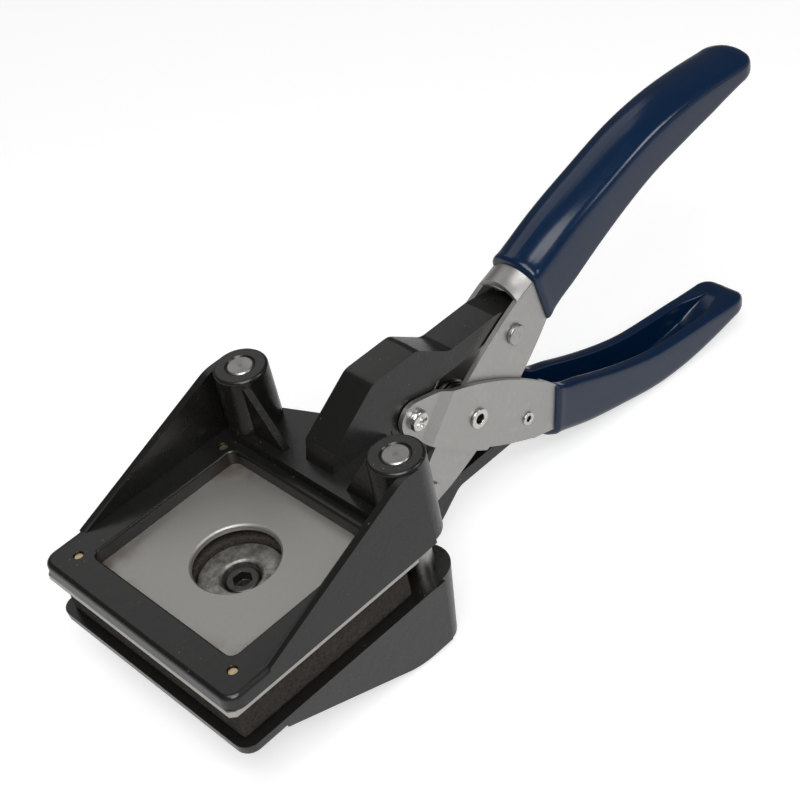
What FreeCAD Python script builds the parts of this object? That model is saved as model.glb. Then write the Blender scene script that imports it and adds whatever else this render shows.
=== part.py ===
import FreeCAD, Part
import math
import os
from types import SimpleNamespace

import Sketcher

Vector = FreeCAD.Vector
Placement = FreeCAD.Placement
Rotation = FreeCAD.Rotation

# Driving dimensions, in millimetres and degrees.
# X runs from the die back to the handles, Y to the left, and heights are
# measured from the plane midway between the two jaws.
SIZES = {
    # die set
    "die_dia": 25.0,
    "punch_clearance": 0.05,
    "die_plate_thickness": 2.0,
    "die_plate_length": 67.3,
    "die_plate_inset": 0.6,
    "die_plate_corner": 1.5,
    "die_edge_chamfer": 0.5,
    "punch_rise": 7.6,
    "punch_counterbore_dia": 11.4,
    "punch_counterbore_depth": 6.2,
    "punch_counterbore_chamfer": 0.6,
    "punch_edge_chamfer": 0.3,
    "cap_screw_dia": 6.0,
    "cap_head_dia": 10.0,
    "cap_head_height": 5.0,
    "cap_head_chamfer": 0.5,
    "cap_socket_flats": 5.0,
    "cap_socket_depth": 3.0,
    "cap_screw_length": 9.0,
    "pad_rise": 9.3,
    "pad_front_inset": 2.5,
    "pad_rear_inset": 3.5,
    "pad_side_inset": 3.2,
    "pad_punch_gap": 0.4,
    "plate_screw_dia": 3.0,
    "plate_screw_head_dia": 5.6,
    "plate_screw_head_height": 1.4,
    "plate_screw_length": 6.0,
    "plate_screw_front_inset": 7.9,
    "plate_screw_rear_inset": 6.7,
    "plate_screw_side_inset": 7.8,
    # jaw castings
    "jaw_face": 7.25,
    "upper_frame_thickness": 4.6,
    "lower_frame_thickness": 3.8,
    "upper_draft": 2.3,
    "lower_draft": 4.8,
    "frame_edge_radius": 1.5,
    "head_front": 35.8,
    "head_half_width": 40.8,
    "head_corner": 4.5,
    "head_rear_corner": 10.0,
    "head_rear_reach": 1.8,
    "window_front_margin": 10.4,
    "window_rear_margin": 6.1,
    "window_side_margin": 11.1,
    "window_corner": 2.5,
    "window_edge_radius": 0.8,
    "deck_front_inset": 2.9,
    "deck_rise": 7.75,
    "tongue_reach": 17.2,
    "tongue_half_width": 5.4,
    "tongue_gap": 0.6,
    "boss_height": 34.6,
    "boss_base_radius": 8.3,
    "boss_edge_radius": 1.0,
    "upper_boss_draft": 0.7,
    "lower_boss_draft": 4.6,
    "wing_start_x": 21.9,
    "wing_stand": 1.1,
    "wing_thickness": 2.4,
    "upper_wing_drop": 0.9,
    "lower_wing_drop": 1.8,
    "upper_wing_lead": 6.6,
    "lower_wing_lead": 12.0,
    "upper_wing_round": 12.0,
    "lower_wing_round": 25.0,
    "rib_lead": 4.1,
    "rib_thickness": 2.2,
    "rib_foot_y": 12.8,
    "rib_top_drop": 2.2,
    "punch_boss_dia": 24.0,
    "punch_boss_drop": 4.0,
    # guide posts
    "post_gap": 1.2,
    "post_dia": 8.0,
    "post_chamfer": 0.4,
    "post_bore_chamfer": 0.5,
    "press_clearance": 0.02,
    "running_clearance": 0.04,
    # jaw arms
    "arm_half_width": 5.7,
    "arm_draft": 2.0,
    "nose_foot_inset": 4.6,
    "nose_lean": 1.7,
    "nose_top": 21.7,
    "nose_radius": 1.6,
    "arm_top_drop": 0.7,
    "arm_lobe_dia": 16.0,
    "arm_root": 0.7,
    "hump_radius": 5.0,
    "hump_front_reach": 10.6,
    "upper_hump_rear": 6.5,
    "lower_hump_rear": -1.3,
    "upper_tail_front": 17.8,
    "lower_tail_front": 12.2,
    "upper_tail_height": 25.8,
    "lower_tail_height": 23.4,
    "upper_tail_drop": 2.6,
    "lower_tail_drop": 0.6,
    "tail_shoulder_reach": 4.9,
    "tail_shoulder_radius": 4.0,
    "tail_underside": 18.6,
    "tail_lobe_dia": 16.6,
    "tail_lobe_radius": 8.0,
    "tail_end_radius": 6.0,
    # pivots and their rivets
    "pivot_reach": 27.1,
    "pivot_spacing": 20.8,
    "pivot_height": 14.0,
    "slot_height": 16.6,
    "slot_travel": 3.6,
    "slot_clearance": 0.1,
    "stroke": 5.5,
    "sheet": 1.6,
    "cheek_gap": 0.4,
    "joggle_gap": 0.3,
    "open_pivot_clearance": 0.14,
    "flange_gap": 0.1,
    "centre_rivet_dia": 4.6,
    "centre_rivet_bore": 3.2,
    "centre_flange_dia": 6.4,
    "centre_flange_height": 0.8,
    "flange_edge": 0.3,
    "rivet_head_edge": 0.6,
    "slot_pin_dia": 4.2,
    "slot_pin_head_dia": 6.5,
    "slot_pin_head_height": 1.5,
    "lower_slot_pin_dia": 3.2,
    "lower_slot_pin_bore": 2.0,
    "lower_slot_flange_dia": 4.4,
    "lower_slot_flange_height": 0.7,
    "pivot_screw_dia": 4.4,
    "pivot_screw_head_dia": 6.8,
    "pivot_screw_head_height": 2.2,
    "pivot_screw_head_edge": 1.4,
    "pivot_nut_flats": 7.0,
    "pivot_nut_height": 2.8,
    "pivot_screw_end": 0.8,
    "cross_recess_width": 1.1,
    "cross_recess_length": 4.0,
    "cross_recess_depth": 1.1,
    "lower_pivot_dia": 4.2,
    "lower_pivot_head_dia": 5.8,
    "lower_pivot_head_height": 1.1,
    # handles
    "lip_reach": 3.1,
    "upper_handle_length": 115.0,
    "lower_handle_length": 105.8,
    "upper_handle_lift": 1.9,
    "lower_handle_lift": -2.3,
    "link_end_dia": 11.2,
    "neck_reach": 1.1,
    "neck_rise": 10.2,
    "bend_height": 12.95,
    "heel_reach": 14.1,
    "heel_height": 13.4,
    "fore_step_reach": 0.7,
    "fore_step_height": -6.3,
    "fore_step_angle": 43.0,
    "fore_step_width": 3.3,
    "aft_step_reach": 13.5,
    "aft_step_height": 10.4,
    "aft_step_angle": 75.0,
    "aft_step_width": 1.3,
    "web_inset": 0.1,
    "web_dip": 0.1,
    "crown_rise": 3.9,
    "highest_corner": 47.0,
    "handle_base": 25.6,
    "grip_thickness": 1.4,
    "grip_lining": 1.2,
    "grip_corner": 2.6,
    "grip_rim_corner": 0.6,
    "grip_front_reach": 10.9,
    "grip_front_lean": 11.5,
    # return spring
    "wire_dia": 1.6,
    "coil_radius": 6.7,
    "coil_pitch": 2.06,
    "leg_reach": 10.4,
    "leg_gap": 0.35,
    "bush_wall_gap": 0.3,
    "bush_end_gap": 0.1,
    # construction
    "overrun": 1.0,
}

# Stations along a handle from the lip of its web to its tip. The height of the
# web's corner and of the open rim there are shares of the web's highest corner,
# and the rise of its arch is a share of the rise at the lip.
STATION_SHARES = (0.0, 0.09, 0.21, 0.37, 0.53, 0.68, 0.82, 0.93)
CORNER_SHARES = (0.563, 0.637, 0.752, 0.866, 0.963, 1.0, 0.992, 0.968)
RIM_SHARES = (0.045, 0.291, 0.433, 0.600, 0.728, 0.794, 0.845, 0.885)
ARCH_SHARES = (1.0, 0.90, 0.76, 0.67, 0.63, 0.60, 0.58, 0.58)

# The rounded end of a grip beyond the last station: where it lies, how wide it
# is, and how far its corner and rim close up, as shares.
TIP_SHARES = (0.955, 0.978, 0.993, 1.0)
TIP_WIDTH_SHARES = (0.95, 0.82, 0.63, 0.36)
TIP_CLOSE_SHARES = (0.03, 0.11, 0.24, 0.40)

# Coil turns of the return spring between the two legs.
SPRING_FULL_TURNS = 4

# Two points closer than this are one.
SAME_POINT = 1e-6


def make_sheet(doc):
    """Put every driving dimension in a sheet of the document."""
    sheet = doc.addObject("Spreadsheet::Sheet", "Sizes")
    for row, (name, value) in enumerate(SIZES.items(), 1):
        sheet.set(f"A{row}", name)
        sheet.set(f"B{row}", str(value))
        sheet.setAlias(f"B{row}", name)
    doc.recompute()
    return SimpleNamespace(**{name: float(sheet.get(name)) for name in SIZES})


# Helpers for bodies, sketches and their features

def new_body(doc, label):
    body = doc.addObject("PartDesign::Body", label)
    body.Label = label
    return body


def sketch_on(body, role, offset=None):
    """A sketch on one of the body's own planes, moved along its normal."""
    sketch = body.newObject("Sketcher::SketchObject", body.Label + "_sketch")
    plane = [item for item in body.Origin.OriginFeatures if item.Role == role][0]
    sketch.AttachmentSupport = [(plane, "")]
    sketch.MapMode = "FlatFace"
    if offset:
        sketch.setExpression("AttachmentOffset.Base.z", offset)
    return sketch


def flat(point):
    return Vector(point[0], point[1], 0)


def edges_along(start, steps, place=flat):
    """Edges from start through steps: (end,) is straight and (middle, end) an arc."""
    edges = []
    here = start
    for step in steps:
        end = step[-1]
        if len(step) == 2:
            edges.append(Part.Arc(place(here), place(step[0]), place(end)))
        else:
            edges.append(Part.LineSegment(place(here), place(end)))
        here = end
    return edges


def draw(sketch, start, steps):
    for edge in edges_along(start, steps):
        sketch.addGeometry(edge, False)


def draw_circle(sketch, centre, diameter):
    """A circle whose radius follows the diameter's own cells."""
    geometry = sketch.addGeometry(Part.Circle(flat(centre), Vector(0, 0, 1), 1.0), False)
    index = sketch.addConstraint(Sketcher.Constraint("Radius", geometry, 1.0))
    sketch.setExpression(f"Constraints[{index}]", f"({diameter}) / 2")
    for axis, value in (("DistanceX", centre[0]), ("DistanceY", centre[1])):
        if value:
            sketch.addConstraint(Sketcher.Constraint(axis, -1, 1, geometry, 3, value))
        else:
            side = -2 if axis == "DistanceX" else -1
            sketch.addConstraint(Sketcher.Constraint("PointOnObject", geometry, 3, side))


def pad(body, sketch, length, reverse=False, symmetric=False, taper=None):
    feature = body.newObject("PartDesign::Pad", body.Label + "_pad")
    feature.Profile = sketch
    feature.setExpression("Length", length)
    feature.Reversed = reverse
    if symmetric:
        feature.SideType = "Symmetric"
    if taper:
        feature.setExpression("TaperAngle", taper)
    sketch.Visibility = False
    return feature


def cut_through(body, sketch):
    """Cut the sketch through the whole body, both ways, and check that it cuts."""
    body.Document.recompute()
    before = body.Shape.Volume
    feature = body.newObject("PartDesign::Pocket", body.Label + "_cut")
    feature.Profile = sketch
    feature.Type = "ThroughAll"
    feature.SideType = "Symmetric"
    body.Document.recompute()
    if not body.Shape.Volume < before:
        raise ValueError(body.Label + ": a cut removes nothing")
    return feature


def cut_to(body, sketch, length, reverse=False):
    """Cut the sketch to a depth along or against its normal, and check that it cuts."""
    body.Document.recompute()
    before = body.Shape.Volume
    feature = body.newObject("PartDesign::Pocket", body.Label + "_recess")
    feature.Profile = sketch
    feature.Reversed = reverse
    feature.setExpression("Length", length)
    body.Document.recompute()
    if not body.Shape.Volume < before:
        raise ValueError(body.Label + ": a recess removes nothing")
    return feature


def turned(doc, label, corners):
    """A body turned about its own Z axis from the corners of a closed profile: radius,
    height and, where there is one, the rounding of the corner."""
    body = new_body(doc, label)
    sketch = sketch_on(body, "XZ_Plane")
    draw(sketch, *rounded([(*corner, 0)[:3] for corner in corners]))
    feature = body.newObject("PartDesign::Revolution", label + "_turned")
    feature.Profile = sketch
    feature.ReferenceAxis = (sketch, ["V_Axis"])
    feature.Angle = 360.0
    sketch.Visibility = False
    return body


def ease(body, kind, size, wanted):
    """Fillet or chamfer those edges of the body that are wanted."""
    body.Document.recompute()
    names = [f"Edge{index}" for index, edge in enumerate(body.Shape.Edges, 1) if wanted(edge)]
    if not names:
        raise ValueError(body.Label + ": there is no edge to ease")
    base = body.Tip
    feature = body.newObject("PartDesign::" + kind, body.Label + "_edge")
    feature.Base = (base, names)
    feature.setExpression("Radius" if kind == "Fillet" else "Size", size)
    body.Document.recompute()
    return feature


def is_level(edge, height):
    """Whether a whole edge lies at that height."""
    box = edge.BoundBox
    return math.isclose(box.ZMin, height, abs_tol=SAME_POINT) and math.isclose(
        box.ZMax, height, abs_tol=SAME_POINT)


def across(x, z):
    """The place of a piece whose own axis lies across the tool, along Y."""
    return Placement(Vector(x, 0, z), Rotation(Vector(1, 0, 0), -90))


def slot_steps(left, right, height, radius):
    """A level slot between two centres, as a start point and its steps."""
    start = (left, height + radius)
    steps = [
        ((right, height + radius),),
        ((right + radius, height), (right, height - radius)),
        ((left, height - radius),),
        ((left - radius, height), (left, height + radius)),
    ]
    return start, steps


def hexagon(flats):
    """The corners of a hexagon of that width across its flats."""
    radius = flats / math.sqrt(3)
    corners = [(radius * math.cos(math.radians(60 * turn)),
                radius * math.sin(math.radians(60 * turn))) for turn in range(6)]
    return corners[0], [(corner,) for corner in corners[1:]] + [(corners[0],)]


def unit(here, there):
    """The direction from one point to another in the plane."""
    gap = math.hypot(there[0] - here[0], there[1] - here[1])
    return (there[0] - here[0]) / gap, (there[1] - here[1]) / gap


def corner_arc(before, corner, after, radius):
    """Start, middle and end of the arc that rounds a corner, tangent to both sides."""
    one = unit(corner, before)
    two = unit(corner, after)
    half = math.acos(one[0] * two[0] + one[1] * two[1]) / 2
    reach = radius / math.tan(half)
    rise = radius / math.sin(half) - radius
    inward = (one[0] + two[0], one[1] + two[1])
    size = math.hypot(*inward)
    return [(corner[0] + way[0] * by, corner[1] + way[1] * by)
            for way, by in ((one, reach), (inward, rise / size), (two, reach))]


def rounded(corners):
    """A closed outline of straight sides and tangent arcs, from corners with radii."""
    arcs = []
    for index, (x, z, radius) in enumerate(corners):
        before = corners[index - 1]
        after = corners[(index + 1) % len(corners)]
        if radius:
            arcs.append(corner_arc(before, (x, z), after, radius))
        else:
            arcs.append([(x, z)])
    start = arcs[0][-1]
    here = start
    steps = []
    for arc in arcs[1:] + arcs[:1]:
        if math.dist(here, arc[0]) > SAME_POINT:
            steps.append((arc[0],))
        if len(arc) > 1:
            steps.append((arc[1], arc[2]))
        here = arc[-1]
    return start, steps


# Derived places shared by several pieces

def add_places(d):
    d.plate_rear_x = d.die_plate_length - d.head_front
    d.post_x = d.plate_rear_x + d.post_gap + d.post_dia / 2
    d.post_y = d.head_half_width - d.wing_stand - d.boss_base_radius
    d.plate_screw_y = d.head_half_width - d.plate_screw_side_inset
    d.deck_front_x = d.plate_rear_x - d.deck_front_inset
    d.nose_foot_x = d.deck_front_x + d.nose_foot_inset
    d.rib_x = d.post_x - d.rib_lead
    d.front_pivot_x = d.post_x + d.pivot_reach
    d.centre_x = d.front_pivot_x + d.pivot_spacing
    d.slot_pin_x = d.centre_x + d.pivot_spacing
    d.tongue_x = d.front_pivot_x - d.link_end_dia / 2 - d.tongue_gap
    d.arm_top = d.boss_height - d.arm_top_drop
    d.lip_x = d.slot_pin_x + d.lip_reach
    d.heel_x = d.slot_pin_x + d.heel_reach
    d.grip_front_x = d.slot_pin_x + d.grip_front_reach
    d.fore_step_x = d.front_pivot_x + d.fore_step_reach
    d.aft_step_x = d.centre_x + d.aft_step_reach
    d.inner_face = d.arm_half_width + d.cheek_gap
    d.inner_outside = d.inner_face + d.sheet
    d.outer_face = d.inner_outside + d.joggle_gap
    d.outer_outside = d.outer_face + d.sheet
    return d


def jaw_value(d, side, name):
    """A size that the upper and the lower jaw have each for itself."""
    return getattr(d, ("upper_" if side > 0 else "lower_") + name)


def jaw_cell(side, name):
    return "Sizes." + ("upper_" if side > 0 else "lower_") + name


def lever_sizes(d, side):
    """All sizes, with one lever's own tip and its own outward bend among them."""
    sizes = SimpleNamespace(**vars(d))
    sizes.tip_x = d.lip_x + jaw_value(d, side, "handle_length")
    sizes.handle_lift = jaw_value(d, side, "handle_lift")
    return sizes


# Jaw castings

def rear_corners(d):
    """The rear of the head seen from above, from its left flank to its right one."""
    tongue = (d.post_x + d.tongue_reach, d.tongue_half_width)
    half = [
        (d.post_x + d.head_rear_reach, d.head_half_width, d.head_rear_corner),
        (*tongue, 0),
        (d.tongue_x, d.tongue_half_width, 0),
    ]
    return half + [(x, -y, radius) for x, y, radius in reversed(half)]


def head_plan(d):
    """The whole head seen from above."""
    front = -d.head_front
    width = d.head_half_width
    return rounded(rear_corners(d) + [
        (front, -width, d.head_corner), (front, width, d.head_corner)])


def deck_plan(d):
    """The raised deck behind the window, between the bosses."""
    share = (d.head_half_width - d.post_y) / (d.head_half_width - d.tongue_half_width)
    rear_x = d.post_x + d.head_rear_reach + share * (d.tongue_reach - d.head_rear_reach)
    return rounded(rear_corners(d)[1:-1] + [
        (rear_x, -d.post_y, 0), (d.deck_front_x, -d.post_y, 0),
        (d.deck_front_x, d.post_y, 0), (rear_x, d.post_y, 0)])


def window_plan(d):
    front = -d.head_front + d.window_front_margin
    rear = d.plate_rear_x - d.window_rear_margin
    width = d.head_half_width - d.window_side_margin
    return rounded([(x, y, d.window_corner) for x, y in (
        (rear, width), (rear, -width), (front, -width), (front, width))])


def arm_profile(d, side):
    """The jaw's arm from the side: nose, hump, tail and its slotted end."""
    lobe = d.arm_lobe_dia / 2
    end = d.tail_lobe_dia / 2
    end_x = d.slot_pin_x + d.slot_travel / 2
    deck = d.jaw_face + d.deck_rise
    root = deck - d.arm_root
    rear = d.front_pivot_x + lobe
    front = d.front_pivot_x - lobe
    low = d.pivot_height - lobe
    tail = jaw_value(d, side, "tail_height")
    corners = [
        (d.nose_foot_x, root, 0),
        (d.nose_foot_x, deck, 0),
        (d.nose_foot_x + d.nose_lean, d.nose_top, d.nose_radius),
        (d.front_pivot_x - d.hump_front_reach, d.arm_top, d.hump_radius),
        (d.front_pivot_x + jaw_value(d, side, "hump_rear"), d.arm_top, d.hump_radius),
        (d.front_pivot_x + jaw_value(d, side, "tail_front"), tail, d.hump_radius),
        (d.slot_pin_x - d.tail_shoulder_reach, tail, d.tail_shoulder_radius),
        (end_x + end, tail - jaw_value(d, side, "tail_drop"), d.tail_end_radius),
        (end_x + end, d.slot_height - end, d.tail_lobe_radius),
        (end_x - end, d.slot_height - end, d.tail_lobe_radius),
        (end_x - end, d.tail_underside, d.nose_radius),
        (rear, d.tail_underside, lobe / 2),
        (rear, low, d.hump_radius),
        (front, low, d.hump_radius),
        (front, root, 0),
    ]
    return rounded([(x, side * z, radius) for x, z, radius in corners])


def jaw_casting(doc, d, label, side):
    """One jaw: plate, deck, bosses, wings, ribs and arm, above or below the middle."""
    sign = "" if side > 0 else "-"
    down = side < 0
    body = new_body(doc, label)
    plate = sketch_on(body, "XY_Plane", sign + "Sizes.jaw_face")
    draw(plate, *head_plan(d))
    pad(body, plate, jaw_cell(side, "frame_thickness"), reverse=down,
        taper="-" + jaw_cell(side, "draft"))
    outside = side * (d.jaw_face + jaw_value(d, side, "frame_thickness"))
    ease(body, "Fillet", "Sizes.frame_edge_radius",
         lambda edge: is_level(edge, outside) and edge.BoundBox.XMin < 0)
    for hand in (1, -1):
        add_boss(body, d, side, hand)
    deck = sketch_on(body, "XY_Plane", sign + "Sizes.jaw_face")
    draw(deck, *deck_plan(d))
    pad(body, deck, "Sizes.deck_rise", reverse=down)
    for hand in (1, -1):
        add_wing(body, d, side, hand)
        add_rib(body, d, side, hand)
    arm = sketch_on(body, "XZ_Plane")
    draw(arm, *arm_profile(d, side))
    pad(body, arm, "2 * Sizes.arm_half_width", symmetric=True, taper="-Sizes.arm_draft")
    return body


def add_boss(body, d, side, hand):
    """A drafted round boss for a guide post, its rim rounded."""
    boss = sketch_on(body, "XY_Plane", ("" if side > 0 else "-") + "Sizes.jaw_face")
    draw_circle(boss, (d.post_x, hand * d.post_y), "2 * Sizes.boss_base_radius")
    pad(body, boss, "Sizes.boss_height - Sizes.jaw_face", reverse=side < 0,
        taper="-" + jaw_cell(side, "boss_draft"))
    top = side * d.boss_height
    ease(body, "Fillet", "Sizes.boss_edge_radius",
         lambda edge: is_level(edge, top) and hand * edge.BoundBox.Center.y > 0)


def add_wing(body, d, side, hand):
    """A thin leaning outer wall that slopes from the frame up to the top of a boss."""
    wing = sketch_on(body, "XZ_Plane")
    lean = side * hand * jaw_value(d, side, "draft")
    wing.AttachmentOffset = Placement(
        Vector(0, side * d.jaw_face, -hand * d.head_half_width), Rotation(Vector(1, 0, 0), lean))
    rise = 1 / math.cos(math.radians(jaw_value(d, side, "draft")))
    foot = jaw_value(d, side, "frame_thickness") * rise
    top = (d.boss_height - jaw_value(d, side, "wing_drop") - d.jaw_face) * rise
    top_x = d.post_x - jaw_value(d, side, "wing_lead")
    base = d.wing_thickness * math.tan(math.radians(jaw_value(d, side, "draft")))
    corners = [(-d.wing_start_x, base, 0), (-d.wing_start_x, foot, 0),
               (top_x, top, jaw_value(d, side, "wing_round")), (d.post_x, top, 0),
               (d.post_x, base, 0)]
    draw(wing, *rounded([(x, side * z, radius) for x, z, radius in corners]))
    pad(body, wing, "Sizes.wing_thickness", reverse=hand < 0)


def add_rib(body, d, side, hand):
    """A gusset that slopes from a boss down to the deck, towards the arm."""
    rib = sketch_on(body, "YZ_Plane")
    rib.AttachmentOffset = Placement(Vector(0, 0, d.rib_x), Rotation())
    top = d.boss_height - d.rib_top_drop
    shrink = (top - d.jaw_face) * math.tan(math.radians(jaw_value(d, side, "boss_draft")))
    reach = math.sqrt((d.boss_base_radius - shrink) ** 2 - d.rib_lead ** 2)
    base = d.jaw_face + jaw_value(d, side, "frame_thickness") / 2
    corners = [(d.post_y, base), (d.post_y, top), (d.post_y - reach, top),
               (d.rib_foot_y, d.jaw_face + d.deck_rise), (d.rib_foot_y, base)]
    points = [(hand * y, side * z) for y, z in corners]
    draw(rib, points[0], [(point,) for point in points[1:]] + [(points[0],)])
    pad(body, rib, "Sizes.rib_thickness", symmetric=True)


def bore_posts(body, d, clearance):
    for hand in (1, -1):
        bore = sketch_on(body, "XY_Plane")
        draw_circle(bore, (d.post_x, hand * d.post_y),
                    "Sizes.post_dia + 2 * Sizes." + clearance)
        cut_through(body, bore)


def bore_arm(body, d, side, pivot_dia, pin_dia):
    """The round pivot hole in the arm and the level slot in its tail."""
    hole = sketch_on(body, "XZ_Plane")
    draw_circle(hole, (d.front_pivot_x, side * d.pivot_height),
                "Sizes." + pivot_dia + " + 2 * Sizes.running_clearance")
    cut_through(body, hole)
    slot = sketch_on(body, "XZ_Plane")
    radius = getattr(d, pin_dia) / 2 + d.slot_clearance
    draw(slot, *slot_steps(d.slot_pin_x - d.slot_clearance, d.slot_pin_x + d.slot_travel,
                           side * d.slot_height, radius))
    cut_through(body, slot)


def upper_casting(doc, d):
    body = jaw_casting(doc, d, "upper_casting", 1)
    window = sketch_on(body, "XY_Plane")
    draw(window, *window_plan(d))
    cut_through(body, window)
    top = d.jaw_face + d.upper_frame_thickness
    inside = d.head_half_width - d.window_side_margin + SAME_POINT
    ease(body, "Fillet", "Sizes.window_edge_radius",
         lambda edge: is_level(edge, top) and max(
             abs(edge.BoundBox.YMin), abs(edge.BoundBox.YMax)) < inside
         and edge.BoundBox.XMax < d.deck_front_x - SAME_POINT)
    for x, hand in plate_screw_places(d):
        hole = sketch_on(body, "XY_Plane", "Sizes.jaw_face")
        draw_circle(hole, (x, hand * d.plate_screw_y),
                    "Sizes.plate_screw_dia + 2 * Sizes.running_clearance")
        cut_to(body, hole, "Sizes.upper_frame_thickness + Sizes.overrun", reverse=True)
    bore_posts(body, d, "press_clearance")
    radius = d.post_dia / 2 + d.press_clearance
    ease(body, "Chamfer", "Sizes.post_bore_chamfer",
         lambda edge: is_rim(edge, radius, d.boss_height))
    bore_arm(body, d, 1, "pivot_screw_dia", "slot_pin_dia")
    return body


def lower_casting(doc, d):
    body = jaw_casting(doc, d, "lower_casting", -1)
    boss = sketch_on(body, "XY_Plane", "-Sizes.jaw_face - Sizes.lower_frame_thickness")
    draw_circle(boss, (0, 0), "Sizes.punch_boss_dia")
    pad(body, boss, "Sizes.punch_boss_drop", reverse=True)
    tapped = sketch_on(body, "XY_Plane")
    draw_circle(tapped, (0, 0), "Sizes.cap_screw_dia + 2 * Sizes.running_clearance")
    cut_through(body, tapped)
    bore_posts(body, d, "running_clearance")
    bore_arm(body, d, -1, "lower_pivot_dia", "lower_slot_pin_dia")
    return body


# Die set

def plate_screw_places(d):
    front = d.plate_screw_front_inset - d.head_front
    rear = d.plate_rear_x - d.plate_screw_rear_inset
    return [(x, hand) for x in (front, rear) for hand in (1, -1)]


def die_plate(doc, d):
    """The hardened female plate under the upper frame, with its round hole."""
    body = new_body(doc, "die_plate")
    outline = sketch_on(body, "XY_Plane", "Sizes.jaw_face")
    front = -d.head_front
    rear = d.plate_rear_x
    width = d.head_half_width - d.die_plate_inset
    corner = d.die_plate_corner
    start = (front, width - corner)
    draw(outline, start, [
        ((front + corner, width),), ((rear - corner, width),),
        ((rear, width - corner),), ((rear, -width + corner),),
        ((rear - corner, -width),), ((front + corner, -width),),
        ((front, -width + corner),), (start,),
    ])
    pad(body, outline, "Sizes.die_plate_thickness", reverse=True)
    hole = sketch_on(body, "XY_Plane")
    draw_circle(hole, (0, 0), "Sizes.die_dia")
    cut_through(body, hole)
    for x, hand in plate_screw_places(d):
        shank = sketch_on(body, "XY_Plane")
        draw_circle(shank, (x, hand * d.plate_screw_y),
                    "Sizes.plate_screw_dia + 2 * Sizes.running_clearance")
        cut_through(body, shank)
        sink = body.newObject("PartDesign::SubtractiveCone", "die_plate_sink")
        sink.setExpression("Radius1", "Sizes.plate_screw_head_dia / 2 + Sizes.running_clearance")
        sink.setExpression("Radius2", "Sizes.plate_screw_dia / 2 + Sizes.running_clearance")
        sink.setExpression("Height", "Sizes.plate_screw_head_height")
        sink.AttachmentOffset = Placement(
            Vector(x, hand * d.plate_screw_y, d.jaw_face - d.die_plate_thickness), Rotation())
        sink.Placement = sink.AttachmentOffset
    ease(body, "Chamfer", "Sizes.die_edge_chamfer",
         lambda edge: is_rim(edge, d.die_dia / 2, d.jaw_face))
    return body


def is_rim(edge, radius, height):
    """Whether an edge is a level circle of that radius at that height."""
    return is_level(edge, height) and hasattr(edge.Curve, "Radius") and math.isclose(
        edge.Curve.Radius, radius, abs_tol=SAME_POINT)


def screw_solid(d):
    """One countersunk screw with its flat head down at height zero."""
    head = Part.makeCone(d.plate_screw_head_dia / 2, d.plate_screw_dia / 2,
                         d.plate_screw_head_height)
    shank = Part.makeCylinder(d.plate_screw_dia / 2, d.plate_screw_length)
    return head.fuse(shank).removeSplitter()


def die_plate_screws(doc, d):
    """The four screws that hold the die plate, heads down in their sinks."""
    solids = []
    for x, hand in plate_screw_places(d):
        screw = screw_solid(d)
        screw.translate(Vector(x, hand * d.plate_screw_y, d.jaw_face - d.die_plate_thickness))
        solids.append(screw)
    return feature(doc, "die_plate_screws", Part.makeCompound(solids))


def feature(doc, label, shape):
    item = doc.addObject("Part::Feature", label)
    item.Label = label
    item.Shape = shape
    return item


def punch(doc, d):
    """The round male punch with its counterbore for the cap screw."""
    outer = d.die_dia / 2 - d.punch_clearance
    bore = d.cap_screw_dia / 2 + d.running_clearance
    sink = d.punch_counterbore_dia / 2
    top = d.punch_rise
    floor = top - d.punch_counterbore_depth
    edge = d.punch_edge_chamfer
    lip = d.punch_counterbore_chamfer
    body = turned(doc, "punch", [
        (bore, 0), (outer, 0), (outer, top - edge), (outer - edge, top), (sink + lip, top),
        (sink, top - lip), (sink, floor), (bore, floor)])
    body.Placement = Placement(Vector(0, 0, -d.jaw_face), Rotation())
    return body


def punch_screw(doc, d):
    """The cap screw that holds the punch, with its hexagon socket."""
    seat = d.punch_rise - d.punch_counterbore_depth
    shank = d.cap_screw_dia / 2
    head = d.cap_head_dia / 2
    top = seat + d.cap_head_height
    edge = d.cap_head_chamfer
    body = turned(doc, "punch_screw", [
        (0, seat - d.cap_screw_length + edge), (shank - edge, seat - d.cap_screw_length + edge),
        (shank, seat - d.cap_screw_length + 2 * edge), (shank, seat), (head, seat),
        (head, top - edge), (head - edge, top), (0, top)])
    socket = sketch_on(body, "XY_Plane", "Sizes.punch_rise - Sizes.punch_counterbore_depth"
                                         " + Sizes.cap_head_height")
    draw(socket, *hexagon(d.cap_socket_flats))
    cut_to(body, socket, "Sizes.cap_socket_depth")
    body.Placement = Placement(Vector(0, 0, -d.jaw_face), Rotation())
    return body


def stripper_pad(doc, d):
    """The foam pad round the punch that pushes the card off it."""
    body = new_body(doc, "stripper_pad")
    outline = sketch_on(body, "XY_Plane", "-Sizes.jaw_face")
    front = -d.head_front + d.pad_front_inset
    rear = d.plate_rear_x - d.pad_rear_inset
    width = d.head_half_width - d.pad_side_inset
    draw(outline, (front, width), [
        ((rear, width),), ((rear, -width),), ((front, -width),), ((front, width),)])
    pad(body, outline, "Sizes.pad_rise")
    hole = sketch_on(body, "XY_Plane")
    draw_circle(hole, (0, 0), "Sizes.die_dia + 2 * Sizes.pad_punch_gap")
    cut_through(body, hole)
    return body


def guide_post(doc, d, hand):
    """A hardened post pressed in the upper boss that slides in the lower one."""
    label = "guide_post_left" if hand > 0 else "guide_post_right"
    radius = d.post_dia / 2
    edge = d.post_chamfer
    bottom = -d.boss_height + d.stroke + d.overrun
    top = d.boss_height
    body = turned(doc, label, [
        (0, bottom), (radius - edge, bottom), (radius, bottom + edge), (radius, top - edge),
        (radius - edge, top), (0, top)])
    body.Placement = Placement(Vector(d.post_x, hand * d.post_y, 0), Rotation())
    return body


# Handles

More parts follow.
